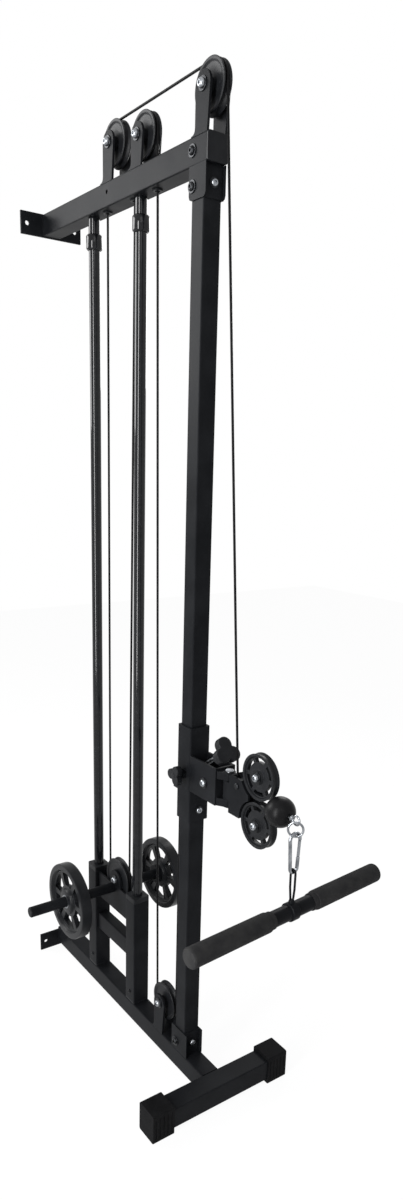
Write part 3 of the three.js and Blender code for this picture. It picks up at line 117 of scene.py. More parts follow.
def add(tree, kind, settings=None, **inputs):
    """Adds one node. An input is a value, or an output socket to link from.

    Inputs go by name, with _ for a space, or by number as i0, i1 where names repeat.
    """
    made = tree.nodes.new(kind)
    for key, value in (settings or {}).items():
        setattr(made, key, value)
    for key, value in inputs.items():
        numbered = key[0] == "i" and key[1:].isdigit()
        socket = made.inputs[int(key[1:]) if numbered else key.replace("_", " ")]
        if isinstance(value, bpy.types.NodeSocket):
            tree.links.new(value, socket)
        else:
            socket.default_value = value
    return made


def per(size):
    """Noise scale, in waves per metre, for a pattern of this size in mm."""
    return 1 / (size * MM)


# Nearly all values of a noise lie between these two.
NOISE_LOW, NOISE_HIGH = 0.35, 0.65


def finish_of(name, dark, light, blotch, grain, rough, bump,
              shine=0.5, metal=0.0, stretch=(1, 1, 1)):
    """A finish whose colour drifts between two tones and whose surface has a grain.

    blotch and grain are sizes in mm, rough is a pair of limits and bump a height in mm. shine is
    the mirror share of the surface: 0.5 for a clear smooth plastic, less for a dusty or textured
    one. stretch squeezes the pattern along an axis.
    """
    made = bpy.data.materials.new(name)
    made.use_nodes = True
    tree = made.node_tree
    tree.nodes.clear()
    place = add(tree, "ShaderNodeTexCoord").outputs["Object"]
    place = add(tree, "ShaderNodeMapping", Vector=place, Scale=stretch).outputs[0]
    drift = add(tree, "ShaderNodeTexNoise", Vector=place, Scale=per(blotch), Detail=4.0).outputs[0]
    fine = add(tree, "ShaderNodeTexNoise", Vector=place, Scale=per(grain), Detail=3.0).outputs[0]
    ramp = add(tree, "ShaderNodeValToRGB", Fac=drift)
    stops = ((NOISE_LOW, dark), (NOISE_HIGH, light))
    for stop, (position, tone) in zip(ramp.color_ramp.elements, stops):
        stop.position = position
        stop.color = linear(tone)
    mixed = add(tree, "ShaderNodeMath", {"operation": "ADD"}, i0=drift, i1=fine).outputs[0]
    gloss = add(tree, "ShaderNodeMapRange", Value=mixed, From_Min=2 * NOISE_LOW,
                From_Max=2 * NOISE_HIGH, To_Min=rough[0], To_Max=rough[1]).outputs[0]
    relief = add(tree, "ShaderNodeBump", Height=fine, Strength=1.0, Distance=bump * MM).outputs[0]
    shader = add(tree, "ShaderNodeBsdfPrincipled", Base_Color=ramp.outputs[0], Metallic=metal,
                 Roughness=gloss, Specular_IOR_Level=shine, Normal=relief)
    add(tree, "ShaderNodeOutputMaterial", Surface=shader.outputs[0])
    print("finish:", name)
    return made


# %% [markdown]
# Powder coat: dry paint melted on steel. It is satin, with a soft orange peel. The real waves are
# near 1 mm, drawn here at 1.6 mm so that they show.

# %% Powder-coated steel
powder_coat = finish_of("powder_coated_steel", "0f1012", "151618", blotch=60, grain=1.6,
                        rough=(0.34, 0.44), bump=0.012, shine=0.035)

# %% [markdown]
# The guide rods are black-plated and polished, so that bushes run on them. They mirror the room in
# one long line, and wiping leaves faint rings.

# %% Black plated rod
plated_rod = finish_of("black_plated_rod", "0b0c0e", "111214", blotch=30, grain=2.5,
                       rough=(0.07, 0.11), bump=0.001, shine=0.24, stretch=(1, 1, 4))

# %% [markdown]
# Zinc plate on screws and pins is bright with a milky drift. Nickel plate on the snap hook and ring
# is a cleaner mirror. Washers and side screws are blackened in an oxide bath, dark but metallic.

# %% Plated steel
zinc_plate = finish_of("zinc_plated_steel", "7c7f83", "a2a5a9", blotch=9, grain=0.6,
                       rough=(0.22, 0.34), bump=0.006, metal=1.0)
nickel_plate = finish_of("nickel_plated_wire", "73767a", "9b9ea2", blotch=12, grain=0.8,
                         rough=(0.12, 0.2), bump=0.003, metal=1.0)
black_oxide = finish_of("black_oxide_steel", "1f2022", "2f3032", blotch=6, grain=0.6,
                        rough=(0.3, 0.42), bump=0.006, metal=1.0)

# %% [markdown]
# Wheels, bushes and knobs are moulded nylon: an even black with a fine spark-eroded grain.

# %% Moulded nylon
nylon = finish_of("moulded_nylon", "111214", "161719", blotch=25, grain=0.9,
                  rough=(0.36, 0.42), bump=0.003, shine=0.1)

# %% [markdown]
# Foot caps are rubber, which is dull and a little dusty. The stop ball is rubber too, but hands
# have polished it, so it has a soft shine.

# %% Moulded rubber
rubber = finish_of("moulded_rubber", "0c0c0d", "121213", blotch=18, grain=0.9,
                   rough=(0.55, 0.7), bump=0.008, shine=0.03)
ball_rubber = finish_of("polished_ball_rubber", "0b0b0c", "101011", blotch=20, grain=1.2,
                        rough=(0.32, 0.4), bump=0.003, shine=0.08)

# %% [markdown]
# Weight plates are sand-cast and then enamelled, so the sand's grain shows through the gloss. The
# ring round each bore is turned bare after the enamel.

# %% Enamelled cast iron
cast_iron = finish_of("enamelled_cast_iron", "0e0f11", "141517", blotch=35, grain=2.2,
                      rough=(0.28, 0.4), bump=0.04, shine=0.12)
turned_bore = finish_of("turned_hub_ring", "6c6f73", "8c8f93", blotch=8, grain=0.7,
                        rough=(0.25, 0.4), bump=0.006, metal=1.0)

# %% [markdown]
# The cable is wire rope in a smooth black sheath.

# %% Cable sheath
sheath = finish_of("nylon_cable_sheath", "09090a", "0c0c0d", blotch=15, grain=1.0,
                   rough=(0.38, 0.42), bump=0.0, shine=0.05)

# %% [markdown]
# Grip foam is closed-cell rubber: matt, charcoal, with open pores where the skin was ground off.
# Pores of about 0.8 mm are drawn at 1.6 mm so that they show.

# %% Grip foam
grip_foam = finish_of("ground_grip_foam", "202021", "292929", blotch=22, grain=1.6,
                      rough=(0.86, 0.96), bump=0.12, shine=0.1)

# %% [markdown]
# Every solid gets its slot's finish first, so that none can show bare. The finer pieces made below
# then stand for the solids, one by one.

# %% Finishes on the solids
by_slot = {"paint_black": powder_coat, "rod_black": plated_rod, "zinc_steel": zinc_plate,
           "moulded_nylon": nylon, "moulded_rubber": rubber, "plate_iron": cast_iron,
           "cable_sheath": sheath, "grip_foam": grip_foam}
for row in frame["record"]["subparts"]:
    mesh = frame["nodes"][row["node"]].data
    mesh.materials.clear()
    mesh.materials.append(by_slot[row["material_slot"]])

# %% [markdown]
# Shaping tools. A turned part starts as one vertex, whose track draws the half section, and is spun
# about its axis as on a lathe. A plate starts as an outline and is extruded. Both are laid along
# the tower's own directions and their place is applied to the mesh.

# %% Shaping tools
SIDEWAYS, LEFTWARD = (0, math.pi / 2, 0), (0, -math.pi / 2, 0)
FORWARD = (math.pi / 2, 0, 0)
UPWARD = (0, 0, 0)


def clear():
    """Leaves edit mode and deselects everything."""
    if bpy.context.object and bpy.context.object.mode != "OBJECT":
        bpy.ops.object.mode_set(mode="OBJECT")
    bpy.ops.object.select_all(action="DESELECT")


def pick(piece):
    """Selects one piece alone and makes it the active one."""
    clear()
    piece.select_set(True)
    bpy.context.view_layer.objects.active = piece


def lay(piece, turn, place):
    """Turns and moves a piece, and applies both to its mesh."""
    piece.rotation_euler = turn
    piece.location = place
    bpy.ops.object.transform_apply(location=True, rotation=True, scale=True)
    return piece


def smooth(piece, angle=35):
    """Smooth shading between faces that meet at less than an angle."""
    pick(piece)
    bpy.ops.object.shade_smooth_by_angle(angle=math.radians(angle))
    return piece


def turned(name, profile, turn, place, steps=48):
    """Spins a half section, given as pairs of radius and distance along the axis in mm."""
    clear()
    bpy.ops.mesh.primitive_plane_add(size=MM)
    piece = bpy.context.object
    piece.name = name
    bpy.ops.object.mode_set(mode="EDIT")
    bpy.ops.mesh.merge(type="CENTER")
    bpy.ops.transform.translate(value=Vector((profile[0][0], 0, profile[0][1])) * MM)
    for (r0, z0), (r1, z1) in zip(profile, profile[1:]):
        step = {"value": Vector((r1 - r0, 0, z1 - z0)) * MM}
        bpy.ops.mesh.extrude_vertices_move(TRANSFORM_OT_translate=step)
    bpy.ops.mesh.select_all(action="SELECT")
    bpy.ops.mesh.spin(steps=steps, angle=2 * math.pi, center=(0, 0, 0), axis=(0, 0, 1))
    bpy.ops.mesh.select_all(action="SELECT")
    bpy.ops.mesh.remove_doubles(threshold=0.005 * MM)
    bpy.ops.mesh.normals_make_consistent(inside=False)
    bpy.ops.object.mode_set(mode="OBJECT")
    lay(piece, turn, place)
    return smooth(piece)


def pushed(name, outline, depth, turn, place, low=0.0):
    """Extrudes a flat outline in mm along local Z, from low to low + depth."""
    mesh = bpy.data.meshes.new(name)
    mesh.from_pydata([Vector((x, y, low)) * MM for x, y in outline], [], [range(len(outline))])
    piece = bpy.data.objects.new(name, mesh)
    bpy.context.collection.objects.link(piece)
    pick(piece)
    bpy.ops.object.mode_set(mode="EDIT")
    bpy.ops.mesh.select_all(action="SELECT")
    step = {"value": (0, 0, depth * MM)}
    bpy.ops.mesh.extrude_region_move(TRANSFORM_OT_translate=step)
    bpy.ops.mesh.select_all(action="SELECT")
    bpy.ops.mesh.normals_make_consistent(inside=False)
    bpy.ops.object.mode_set(mode="OBJECT")
    return lay(piece, turn, place)


def apply(piece, kind, **settings):
    """Adds a modifier, sets it and applies it."""
    pick(piece)
    made = piece.modifiers.new(kind.title(), kind)
    for key, value in settings.items():
        setattr(made, key, value)
    bpy.ops.object.modifier_apply(modifier=made.name)
    return piece


def bevelled(piece, width, segments=2, angle=35):
    """Rounds every edge sharper than an angle, and keeps the flat faces flat in the light."""
    apply(piece, "BEVEL", width=width * MM, segments=segments, limit_method="ANGLE",
          angle_limit=math.radians(angle))
    smooth(piece)
    return apply(piece, "WEIGHTED_NORMAL", mode="FACE_AREA", weight=100, keep_sharp=True)


def cut(piece, cutters):
    """Cuts solids out of a piece and deletes them."""
    for cutter in cutters:
        apply(piece, "BOOLEAN", operation="DIFFERENCE", object=cutter, solver="EXACT")
        bpy.data.objects.remove(cutter)
    return piece


def welded(name, pieces):
    """Joins pieces into one object."""
    clear()
    for each in pieces:
        each.select_set(True)
    bpy.context.view_layer.objects.active = pieces[0]
    bpy.ops.object.join()
    pieces[0].name = name
    return pieces[0]


def paint(piece, finish):
    """Gives a whole piece one finish."""
    piece.data.materials.clear()
    piece.data.materials.append(finish)
    return piece


def fit(piece, body, slot, *nodes):
    """Lets a finished piece ride on a body and stand for its solids."""
    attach(piece, body)
    if nodes:
        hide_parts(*nodes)
    return piece


def mirrored(half, bored=True):
    """A half section and its mirror image, closed along the bore of a bored part."""
    whole = half + [(r, -z) for r, z in reversed(half)]
    return whole + [half[0]] if bored else whole


# %% [markdown]
# Weldments keep the outline of their solids. A copy is merged, its flat faces are dissolved into
# one, and its edges get the small radius that drawn tube and laser-cut plate have under paint.

# %% Softened weldments
def softened(node, body, slot, finish, width):
    """A copy of a solid with rounded edges, which stands for it."""
    piece = bpy.data.objects.new("soft_" + node, frame["nodes"][node].data.copy())
    bpy.context.collection.objects.link(piece)
    pick(piece)
    bpy.ops.object.mode_set(mode="EDIT")
    bpy.ops.mesh.select_all(action="SELECT")
    bpy.ops.mesh.remove_doubles(threshold=0.01 * MM)
    bpy.ops.mesh.dissolve_limited(angle_limit=math.radians(1))
    bpy.ops.object.mode_set(mode="OBJECT")
    bevelled(piece, width, angle=28)
    paint(piece, finish)
    return fit(piece, body, slot, node)


EDGE, BUSH_EDGE = 1.0, 0.8
weldments = {"base_frame": "frame", "front_upright": "frame", "top_boom": "frame",
             "carriage_frame": "carriage", "slider": "slider", "swivel_yoke": "yoke"}
for node, body in weldments.items():
    softened(node, body, "paint_black", powder_coat, EDGE)
bushes = ["sleeve_bush_" + corner
          for corner in ("rear_top", "front_top", "rear_bottom", "front_bottom")]
for node in bushes:
    softened(node, "carriage", "moulded_nylon", nylon, BUSH_EDGE)
softened("boom_end_cap", "frame", "moulded_nylon", nylon, EDGE)
for node in ("foot_cap_left", "foot_cap_right"):
    softened(node, "frame", "moulded_rubber", rubber, EDGE)

# %% [markdown]
# The guide rods are ground bar with a small chamfer at the ends. Each has a shaft collar below the
# boom that stops the carriage.

# %% Guide rods and collars
ROD_RADIUS, ROD_BOTTOM, ROD_TOP = 12.5, 12.8, 1972.2
COLLAR_RADIUS, COLLAR_LOW, COLLAR_HIGH = 18, 1862, 1894
ROD_REACHES = {"rear": 223, "front": 424.5}
for name, reach in ROD_REACHES.items():
    rod = turned("rod_" + name, [
        (0, ROD_BOTTOM), (ROD_RADIUS - 1, ROD_BOTTOM), (ROD_RADIUS, ROD_BOTTOM + 1),
        (ROD_RADIUS, ROD_TOP - 1), (ROD_RADIUS - 1, ROD_TOP), (0, ROD_TOP),
    ], UPWARD, at(0, reach, 0), 48)
    fit(paint(rod, plated_rod), "frame", "rod_black", "guide_rod_" + name)
    bore = ROD_RADIUS + 0.3
    collar = turned("collar_" + name, [
        (bore, COLLAR_LOW), (COLLAR_RADIUS - 3, COLLAR_LOW),
        (COLLAR_RADIUS - 0.6, COLLAR_LOW + 2.4),
        (COLLAR_RADIUS, COLLAR_LOW + 3.6), (COLLAR_RADIUS, COLLAR_HIGH - 3.6),
        (COLLAR_RADIUS - 0.6, COLLAR_HIGH - 2.4), (COLLAR_RADIUS - 3, COLLAR_HIGH),
        (bore, COLLAR_HIGH), (bore, COLLAR_LOW),
    ], UPWARD, at(0, reach, 0), 48)
    fit(paint(collar, plated_rod), "frame", "rod_black", "rod_collar_" + name)
print("rods and collars, top of the rods in mm:", ROD_TOP)

# %% [markdown]
# The tower's wheels are moulded in one: a lipped rim with a round groove, a flat face sunk a little
# below the rim, and a long hub that keeps the wheel between its ears.

# %% Grooved wheels
def groove(radius, line, half):
    """The rim's half section, from its outer lip to the middle of the groove."""
    floor = line - 3.1
    return [(radius - 4.5, half), (radius - 0.8, half), (radius, half - 0.8), (radius, 7.1),
            (radius - 0.5, 6.3), (floor + 2.2, 3.0), (floor + 0.6, 1.9), (floor, 0.8)]


def wheel(node, body, radius, line, half, hub, reach, height):
    """A flat-faced wheel on an axle that runs sideways; the rim stands proud of its face.

    half is half the rim's width and hub half the hub's length.
    """
    face = min(6.0, hub - 2)
    section = [(5.3, hub), (12.2, hub), (13, hub - 0.8), (13.6, face + 0.9), (15, face),
               (radius - 9.4, face), (radius - 8.2, face + 0.4), (radius - 6, half - 0.6)]
    section += groove(radius, line, half)
    piece = turned("fine_" + node, mirrored(section), SIDEWAYS, at(0, reach, height), 64)
    return fit(paint(piece, nylon), body, "moulded_nylon", node)


# An axle's place is a reach and a height. A line is the radius on which the cable's middle runs.
TOP_AXLES = {"front": (668, 2049), "middle": (443, 2030), "rear": (327, 2046)}
LOW_AXLE, CARRIAGE_AXLE = (566, 139), (336, 362)
LINE, CARRIAGE_LINE = 42, 49
SMALL_WHEEL = (45, LINE, 9, 17.1)
for name, axle in TOP_AXLES.items():
    wheel("top_pulley_" + name, name + "_wheel", *SMALL_WHEEL, *axle)
wheel("low_pulley", "low_wheel", *SMALL_WHEEL, *LOW_AXLE)
wheel("carriage_pulley", "carriage_wheel", 55, CARRIAGE_LINE, 8, 8, *CARRIAGE_AXLE)
print("grooved wheels:", len(TOP_AXLES) + 2)

# %% [markdown]
# The arm's two guide wheels are a little bigger, flatter and lightened by six long slots under the
# rim. The slots are kidneys, so each cutter is an outline with two arcs.

# %% Kidney cutters
def kidneys(count, inner, outer, rib, half, place, steps=12):
    """Solids between two radii that leave a spoke of half-angle rib between them."""
    made = []
    for i in range(count):
        start, end = 2 * math.pi * i / count + rib, 2 * math.pi * (i + 1) / count - rib
        angles = [start + (end - start) * k / steps for k in range(steps + 1)]
        trim = (rib * (outer - inner)) / outer / 2
        out = [((a - trim if a < (start + end) / 2 else a + trim), outer) for a in angles]
        ring = out + [(a, inner) for a in reversed(angles)]
        points = [(r * math.sin(a), r * math.cos(a)) for a, r in ring]
        made.append(pushed("cutter", points, 2 * half, SIDEWAYS, place, -half))
    return made


# %% Slotted guide wheels
def slotted_wheel(node, body, reach, height):
    """A flat wheel with six rim slots."""
    place = at(0, reach, height)
    section = [(5.3, 9.2), (12.2, 9.2), (13, 8.4), (14.5, 5.4), (17, 4.2), (38.5, 4.0), (40, 4.6),
               (40.8, 7.4), (42, 8.5), (46.4, 8.5), (47, 7.9), (47, 7.0), (45.4, 3.0), (44.5, 1.6)]
    piece = turned("fine_" + node, mirrored(section), SIDEWAYS, place, 72)
    cut(piece, kidneys(6, 30, 38.3, 0.13, 12, place))
    bevelled(piece, 0.5, 2, angle=50)
    return fit(paint(piece, nylon), body, "moulded_nylon", node)


GUIDE_AXLES = {"upper": (884, 827), "lower": (884, 726.5)}
for name, axle in GUIDE_AXLES.items():
    slotted_wheel("swivel_wheel_" + name, name + "_wheel", *axle)
ROLLER_AXLE = (825, 789.75)
ROLLER = [(3.3, 5.5), (13.9, 5.5), (14.5, 4.9), (14.5, 3.6), (11.6, 2.6), (10.2, 1.4)]
roller = turned("fine_roller", mirrored(ROLLER), SIDEWAYS, at(0, *ROLLER_AXLE), 48)
fit(paint(roller, nylon), "guide_roller", "moulded_nylon", "yoke_guide_roller")
print("slotted wheels:", len(GUIDE_AXLES), "and a roller")

# %% [markdown]
# Each axle is a button-head bolt with a black washer under its head and a chamfered nut on the far
# side. In the photograph the recess for the key is only a dark dot, so it is turned round, with the
# head. The nut is turned in six steps, which makes it hexagonal.

# %% Bolts
WASHER_WIDTH = 12 / 8.5


def bolt(node, body, left, right, shank, head, dome, nut, nut_high, reach, height,
         finish=zinc_plate):
    """A bolt with its head on the left, in the place of its solid.

    left and right are the distances of the seats from the middle plane. shank, head and nut are
    radii, dome and nut_high are heights.
    """
    place = at(0, reach, height)
    seat, out = -left - 0.3, right + 0.3
    under = seat - 1.8
    tip = seat - dome
    head_piece = turned("head", [
        (0, tip + 2.6), (head * 0.36, tip + 2.6), (head * 0.4, tip + 0.1), (head * 0.5, tip),
        (head * 0.72, tip + dome * 0.1), (head * 0.9, tip + dome * 0.3), (head, under - 0.8),
        (head, under), (shank, under), (shank, out + nut_high * 1.2 - 1),
        (shank - 1, out + nut_high * 1.2), (0, out + nut_high * 1.2),
    ], SIDEWAYS, place, 36)
    paint(head_piece, finish)
    nut_piece = turned("nut", [
        (shank + 0.05, out + 0.1), (nut - 0.8, out + 0.1), (nut, out + 0.9),
        (nut, out + nut_high - 0.9), (nut - 0.9, out + nut_high),
        (shank + 0.05, out + nut_high), (shank + 0.05, out + 0.1),
    ], SIDEWAYS, place, 6)
    paint(nut_piece, finish)
    wide = head * WASHER_WIDTH
    washer = turned("washer", [
        (shank + 0.05, under), (wide - 0.4, under), (wide, under + 0.4), (wide, seat - 0.3),
        (wide - 0.3, seat), (shank + 0.05, seat), (shank + 0.05, under),
    ], SIDEWAYS, place, 36)
    paint(washer, black_oxide)
    piece = welded("fine_" + node, [head_piece, nut_piece, washer])
    return fit(piece, body, "zinc_steel", node)


AXLE_BOLT = (5, 8.5, 9, 9, 8)
CLAMP_BOLT = (4, 8, 6, 7.5, 6.5)
ON_TUBE, ON_BRACKET, ON_CHEEKS = (22.5, 22.5), (13.7, 13.7), (25, 25)
ON_YOKE = (9.6, 14.6)
for name, axle in TOP_AXLES.items():
    bolt(f"top_pulley_{name}_bolt", "frame", *ON_TUBE, *AXLE_BOLT, *axle)
bolt("low_pulley_bolt", "frame", *ON_TUBE, *AXLE_BOLT, *LOW_AXLE)
bolt("carriage_pulley_bolt", "carriage", *ON_BRACKET, *AXLE_BOLT, *CARRIAGE_AXLE)
for name, axle in GUIDE_AXLES.items():
    bolt(f"swivel_wheel_{name}_bolt", "yoke", *ON_YOKE, *AXLE_BOLT, *axle)
bolt("boom_bolt", "frame", *ON_TUBE, *CLAMP_BOLT, 640, 1952, black_oxide)
bolt("top_socket_bolt", "frame", *ON_TUBE, *CLAMP_BOLT, 641, 1894, black_oxide)
bolt("base_socket_bolt", "frame", *ON_TUBE, *CLAMP_BOLT, 641, 81, black_oxide)
bolt("arm_bolt", "slider", *ON_CHEEKS, *CLAMP_BOLT, 730, 767)

# %% [markdown]
# Three front screws clamp the upright in its sockets and the slider on the upright. They show in
# the photograph as bright buttons, and have no solid of their own, so each sits on its plate. Two
# small black screws hold the lower bushes in the carriage's sleeves.

# %% Front screws
SCREW_HEAD, SOCKET_FACE, SLIDER_FACE = 7, 677.5, 680
FRONT_SCREWS = {"base": ("frame", SOCKET_FACE, 92), "boom": ("frame", SOCKET_FACE, 1897),
                "slider": ("slider", SLIDER_FACE, 682)}
SLEEVE_FACE, SLEEVE_SCREW_HEIGHT = -22, 88


def front_screw(name, body, reach, height):
    """A button screw whose seat faces forward."""
    place, head = at(0, reach, height), SCREW_HEAD
    washer = turned(name + "_washer", [
        (0, 0), (head * 1.35, 0), (head * 1.35, 1.2), (head * 1.3, 1.5), (0, 1.5),
    ], FORWARD, place, 32)
    paint(washer, black_oxide)
    button = turned(name, [
        (0, 1.5), (head, 1.5), (head, 2.4), (head * 0.9, 4.2), (head * 0.7, 5.4), (head * 0.5, 5.9),
        (head * 0.42, 5.8), (head * 0.38, 3.6), (0, 3.6),
    ], FORWARD, place, 32)
    paint(button, zinc_plate)
    return fit(welded(name, [button, washer]), body, "zinc_steel")


for name, reach in ROD_REACHES.items():
    screw = turned("sleeve_screw_" + name, [
        (0, 0), (4.6, 0), (4.6, 0.9), (4, 2.2), (2.6, 2.8), (1.9, 2.7), (1.8, 1.2), (0, 1.2),
    ], LEFTWARD, at(SLEEVE_FACE, reach, SLEEVE_SCREW_HEIGHT), 28)
    fit(paint(screw, black_oxide), "carriage", "zinc_steel")
for name, (body, reach, height) in FRONT_SCREWS.items():
    front_screw(name + "_front_screw", body, reach, height)
print("screws set on their plates:", len(ROD_REACHES) + len(FRONT_SCREWS))

# %% [markdown]
# Weight plates are castings: a deep rim with rounded edges, a thin web with six windows, and a hub
# boss with a machined ring round the bore. The windows are cut with the same kidneys as the wheels.

# %% Weight plates
HORN_REACH, HORN_HEIGHT, PLATE_X = 324, 336, 136
SIDES = {"left": -1, "right": 1}
PLATE = [(13.4, 13.5), (17, 13.5), (27.5, 13.2), (30, 11.5), (31, 9), (32.5, 6.8), (36, 6), (74, 6),
         (76.5, 6.8), (78, 9), (79.5, 12.6), (81.5, 14), (92, 14), (94.2, 13), (95, 10.5)]
for name, sign in SIDES.items():
    place = at(sign * PLATE_X, HORN_REACH, HORN_HEIGHT)
    disc = turned("fine_plate_" + name, mirrored(PLATE), SIDEWAYS, place, 96)
    cut(disc, kidneys(6, 40, 71, 0.17, 20, place))
    bevelled(disc, 1.2, 3, angle=50)
    paint(disc, cast_iron)
    ring = turned("ring", [
        (13.6, 12.6), (17, 12.6), (17, 13.8), (16.4, 14), (14, 14), (13.6, 13.6), (13.6, 12.6),
    ], (0, sign * math.pi / 2, 0), place, 64)
    paint(ring, turned_bore)
    piece = welded("fine_plate_" + name, [disc, ring])
    fit(piece, name + "_plate", "plate_iron", "weight_plate_" + name)
print("weight plates, radius in mm:", max(radius for radius, half in PLATE))

# %% [markdown]
# Both clamp knobs have three lobes. The outline is a circle whose radius swells three times round,
# and a wide bevel gives the soft moulded edge.

# %% Clamp knobs
def lobes(tip, waist, count=60):
    """A three-lobed outline in mm."""
    points = []
    for i in range(count):
        angle = 2 * math.pi * i / count
        radius = waist + (tip - waist) * ((1 + math.cos(3 * angle)) / 2) ** 0.5
        points.append((-radius * math.sin(angle), radius * math.cos(angle)))
    return points


def knob(name, tip, waist, thick, neck, neck_long, screw_long, turn, place):
    """A knob whose back lies in the local plane Z = 0 and whose screw points down local Z."""
    head = pushed(name, lobes(tip, waist), thick, (0, 0, 0), (0, 0, 0))
    bevelled(head, 2.5, 4, angle=50)
    paint(head, nylon)
    collar = turned("neck", [
        (0, -neck_long), (neck - 1, -neck_long), (neck, 1 - neck_long), (neck, 1), (0, 1),
    ], UPWARD, (0, 0, 0), 40)
    paint(collar, nylon)
    screw = turned("screw", [
        (0, -screw_long), (4, -screw_long), (5, 1 - screw_long), (5, 1), (0, 1),
    ], UPWARD, (0, 0, 0), 32)
    paint(screw, zinc_plate)
    cap = turned("cap", [
        (0, thick - 0.5), (waist * 0.62, thick - 0.5), (waist * 0.6, thick + 0.2),
        (waist * 0.5, thick + 0.5), (0, thick + 0.6),
    ], UPWARD, (0, 0, 0), 40)
    paint(cap, nylon)
    piece = welded(name, [head, collar, screw, cap])
    pick(piece)
    return lay(piece, turn, place)


LOCK_TILT = math.radians(35)
side_knob = knob("fine_side_knob", tip=23, waist=11.5, thick=13, neck=10, neck_long=5,
                 screw_long=18, turn=LEFTWARD, place=at(-38.3, 655, 764))
fit(side_knob, "side_knob", "moulded_nylon", "side_clamp_knob")
lock_knob = knob("fine_lock_knob", tip=31, waist=17, thick=19, neck=10, neck_long=6,
                 screw_long=98, turn=(math.pi / 2 - LOCK_TILT, 0, 0), place=at(0, 761, 837))
fit(lock_knob, "lock_knob", "moulded_nylon", "lock_knob")
print("knobs: the lock knob leans by", round(math.degrees(LOCK_TILT)), "degrees")

# %% [markdown]
# The stop ball has a flat on either side and a bore for the cable. A swaged sleeve and an eye close
# the cable's end, and a plain ring hangs in the eye.

# %% Ball, eye and ring
BALL_REACH, CABLE_HEIGHT, BALL_RADIUS, BALL_FLAT = 945.5, 776.75, 30, 27
edge = math.asin(BALL_FLAT / BALL_RADIUS)
BALL_BORE, BALL_STEPS = 2.8, 24
section = [(BALL_BORE, -BALL_FLAT)]
for i in range(BALL_STEPS + 1):
    angle = -edge + 2 * edge * i / BALL_STEPS
    section.append((BALL_RADIUS * math.cos(angle), BALL_RADIUS * math.sin(angle)))
section += [(BALL_BORE, BALL_FLAT), (BALL_BORE, -BALL_FLAT)]
ball = turned("fine_stop_ball", section, FORWARD, at(0, BALL_REACH, CABLE_HEIGHT), 64)
fit(paint(ball, ball_rubber), "ball", "moulded_rubber", "stop_ball")

EYE_REACH, EYE_RADIUS, EYE_WIRE = 990.8, 9, 2
RING_HEIGHT, RING_RADIUS, RING_WIRE = 758.55, 14.25, 2.25


def ring_of(name, radius, thick, turn, place):
    """A closed ring of round wire, given as two radii. Its axis is local Z."""
    clear()
    bpy.ops.mesh.primitive_torus_add(major_segments=64, minor_segments=20, major_radius=radius * MM,
                                     minor_radius=thick * MM)
    piece = bpy.context.object
    piece.name = name
    return smooth(lay(piece, turn, place), 180)


sleeve = turned("sleeve", [
    (2.6, 0.3), (5.2, 0.3), (6, 1.1), (6, 6.5), (4.6, 8.2), (3.4, 9.6), (0, 9.6), (0, 1),
    (2.6, 1), (2.6, 0.3),
], FORWARD, at(0, BALL_REACH + BALL_FLAT, CABLE_HEIGHT), 40)
eye = ring_of("eye", EYE_RADIUS, EYE_WIRE, SIDEWAYS, at(0, EYE_REACH, CABLE_HEIGHT))
paint(sleeve, nickel_plate)
paint(eye, nickel_plate)
fit(welded("fine_cable_eye", [sleeve, eye]), "ball", "zinc_steel", "cable_end_eye")
link = ring_of("fine_pull_ring", RING_RADIUS, RING_WIRE, (math.pi / 2, 0, -math.pi / 4),
               at(0, EYE_REACH, RING_HEIGHT))
fit(paint(link, nickel_plate), "ring", "zinc_steel", "pull_ring")
print("ball, sleeve, eye and ring; the cable's height in mm:", CABLE_HEIGHT)

# %% [markdown]
# The snap hook is one bent wire. Its path is drawn as a curve with round wire for a bevel, then
# made a mesh. The gate is the upper part of its right leg and swings about its lower end.

# %% Round wire along a path
def wire(name, points, radius, resolution=6):
    """A mesh tube of round wire through points of the frame."""
    data = bpy.data.curves.new(name, "CURVE")
    data.dimensions = "3D"
    data.bevel_depth = radius * MM
    data.bevel_resolution = resolution
    data.use_fill_caps = True
    spline = data.splines.new("POLY")
    spline.points.add(len(points) - 1)
    for knot, point in zip(spline.points, points):
        knot.co = (*point, 1)
    piece = bpy.data.objects.new(name, data)
    bpy.context.collection.objects.link(piece)
    pick(piece)
    bpy.ops.object.convert(target="MESH")
    piece = bpy.context.object
    bpy.ops.object.mode_set(mode="EDIT")
    bpy.ops.mesh.select_all(action="SELECT")
    bpy.ops.mesh.remove_doubles(threshold=0.005 * MM)
    bpy.ops.mesh.normals_make_consistent(inside=False)
    bpy.ops.object.mode_set(mode="OBJECT")
    return smooth(piece, 50)


# %% Snap hook and gate
HOOK_UPPER, HOOK_LOWER, HOOK_SPAN = 738.85, 680.35, 58.5
HOOK_TOP_RADIUS, HOOK_BOTTOM_RADIUS = 12, 8.5
HOOK_WIRE, GATE_WIRE, GATE_LONG = 3.5, 3, 34
NOSE_GAP, HINGE_GAP = 1.4, 0.6
NOSE_SHARE = 0.95
HINGE_SHARE = NOSE_SHARE - GATE_LONG / HOOK_SPAN


def leg(share):
    """A place on the right leg, as a share of its length from below."""
    x = HOOK_BOTTOM_RADIUS + (HOOK_TOP_RADIUS - HOOK_BOTTOM_RADIUS) * share
    return at(x, EYE_REACH, HOOK_LOWER + HOOK_SPAN * share)


def bend(height, radius, start, end, steps=20):
    """Points of an arc in the hook's plane."""
    angles = [math.radians(start + (end - start) * i / steps) for i in range(steps + 1)]
    return [at(radius * math.cos(a), EYE_REACH, height + radius * math.sin(a)) for a in angles]


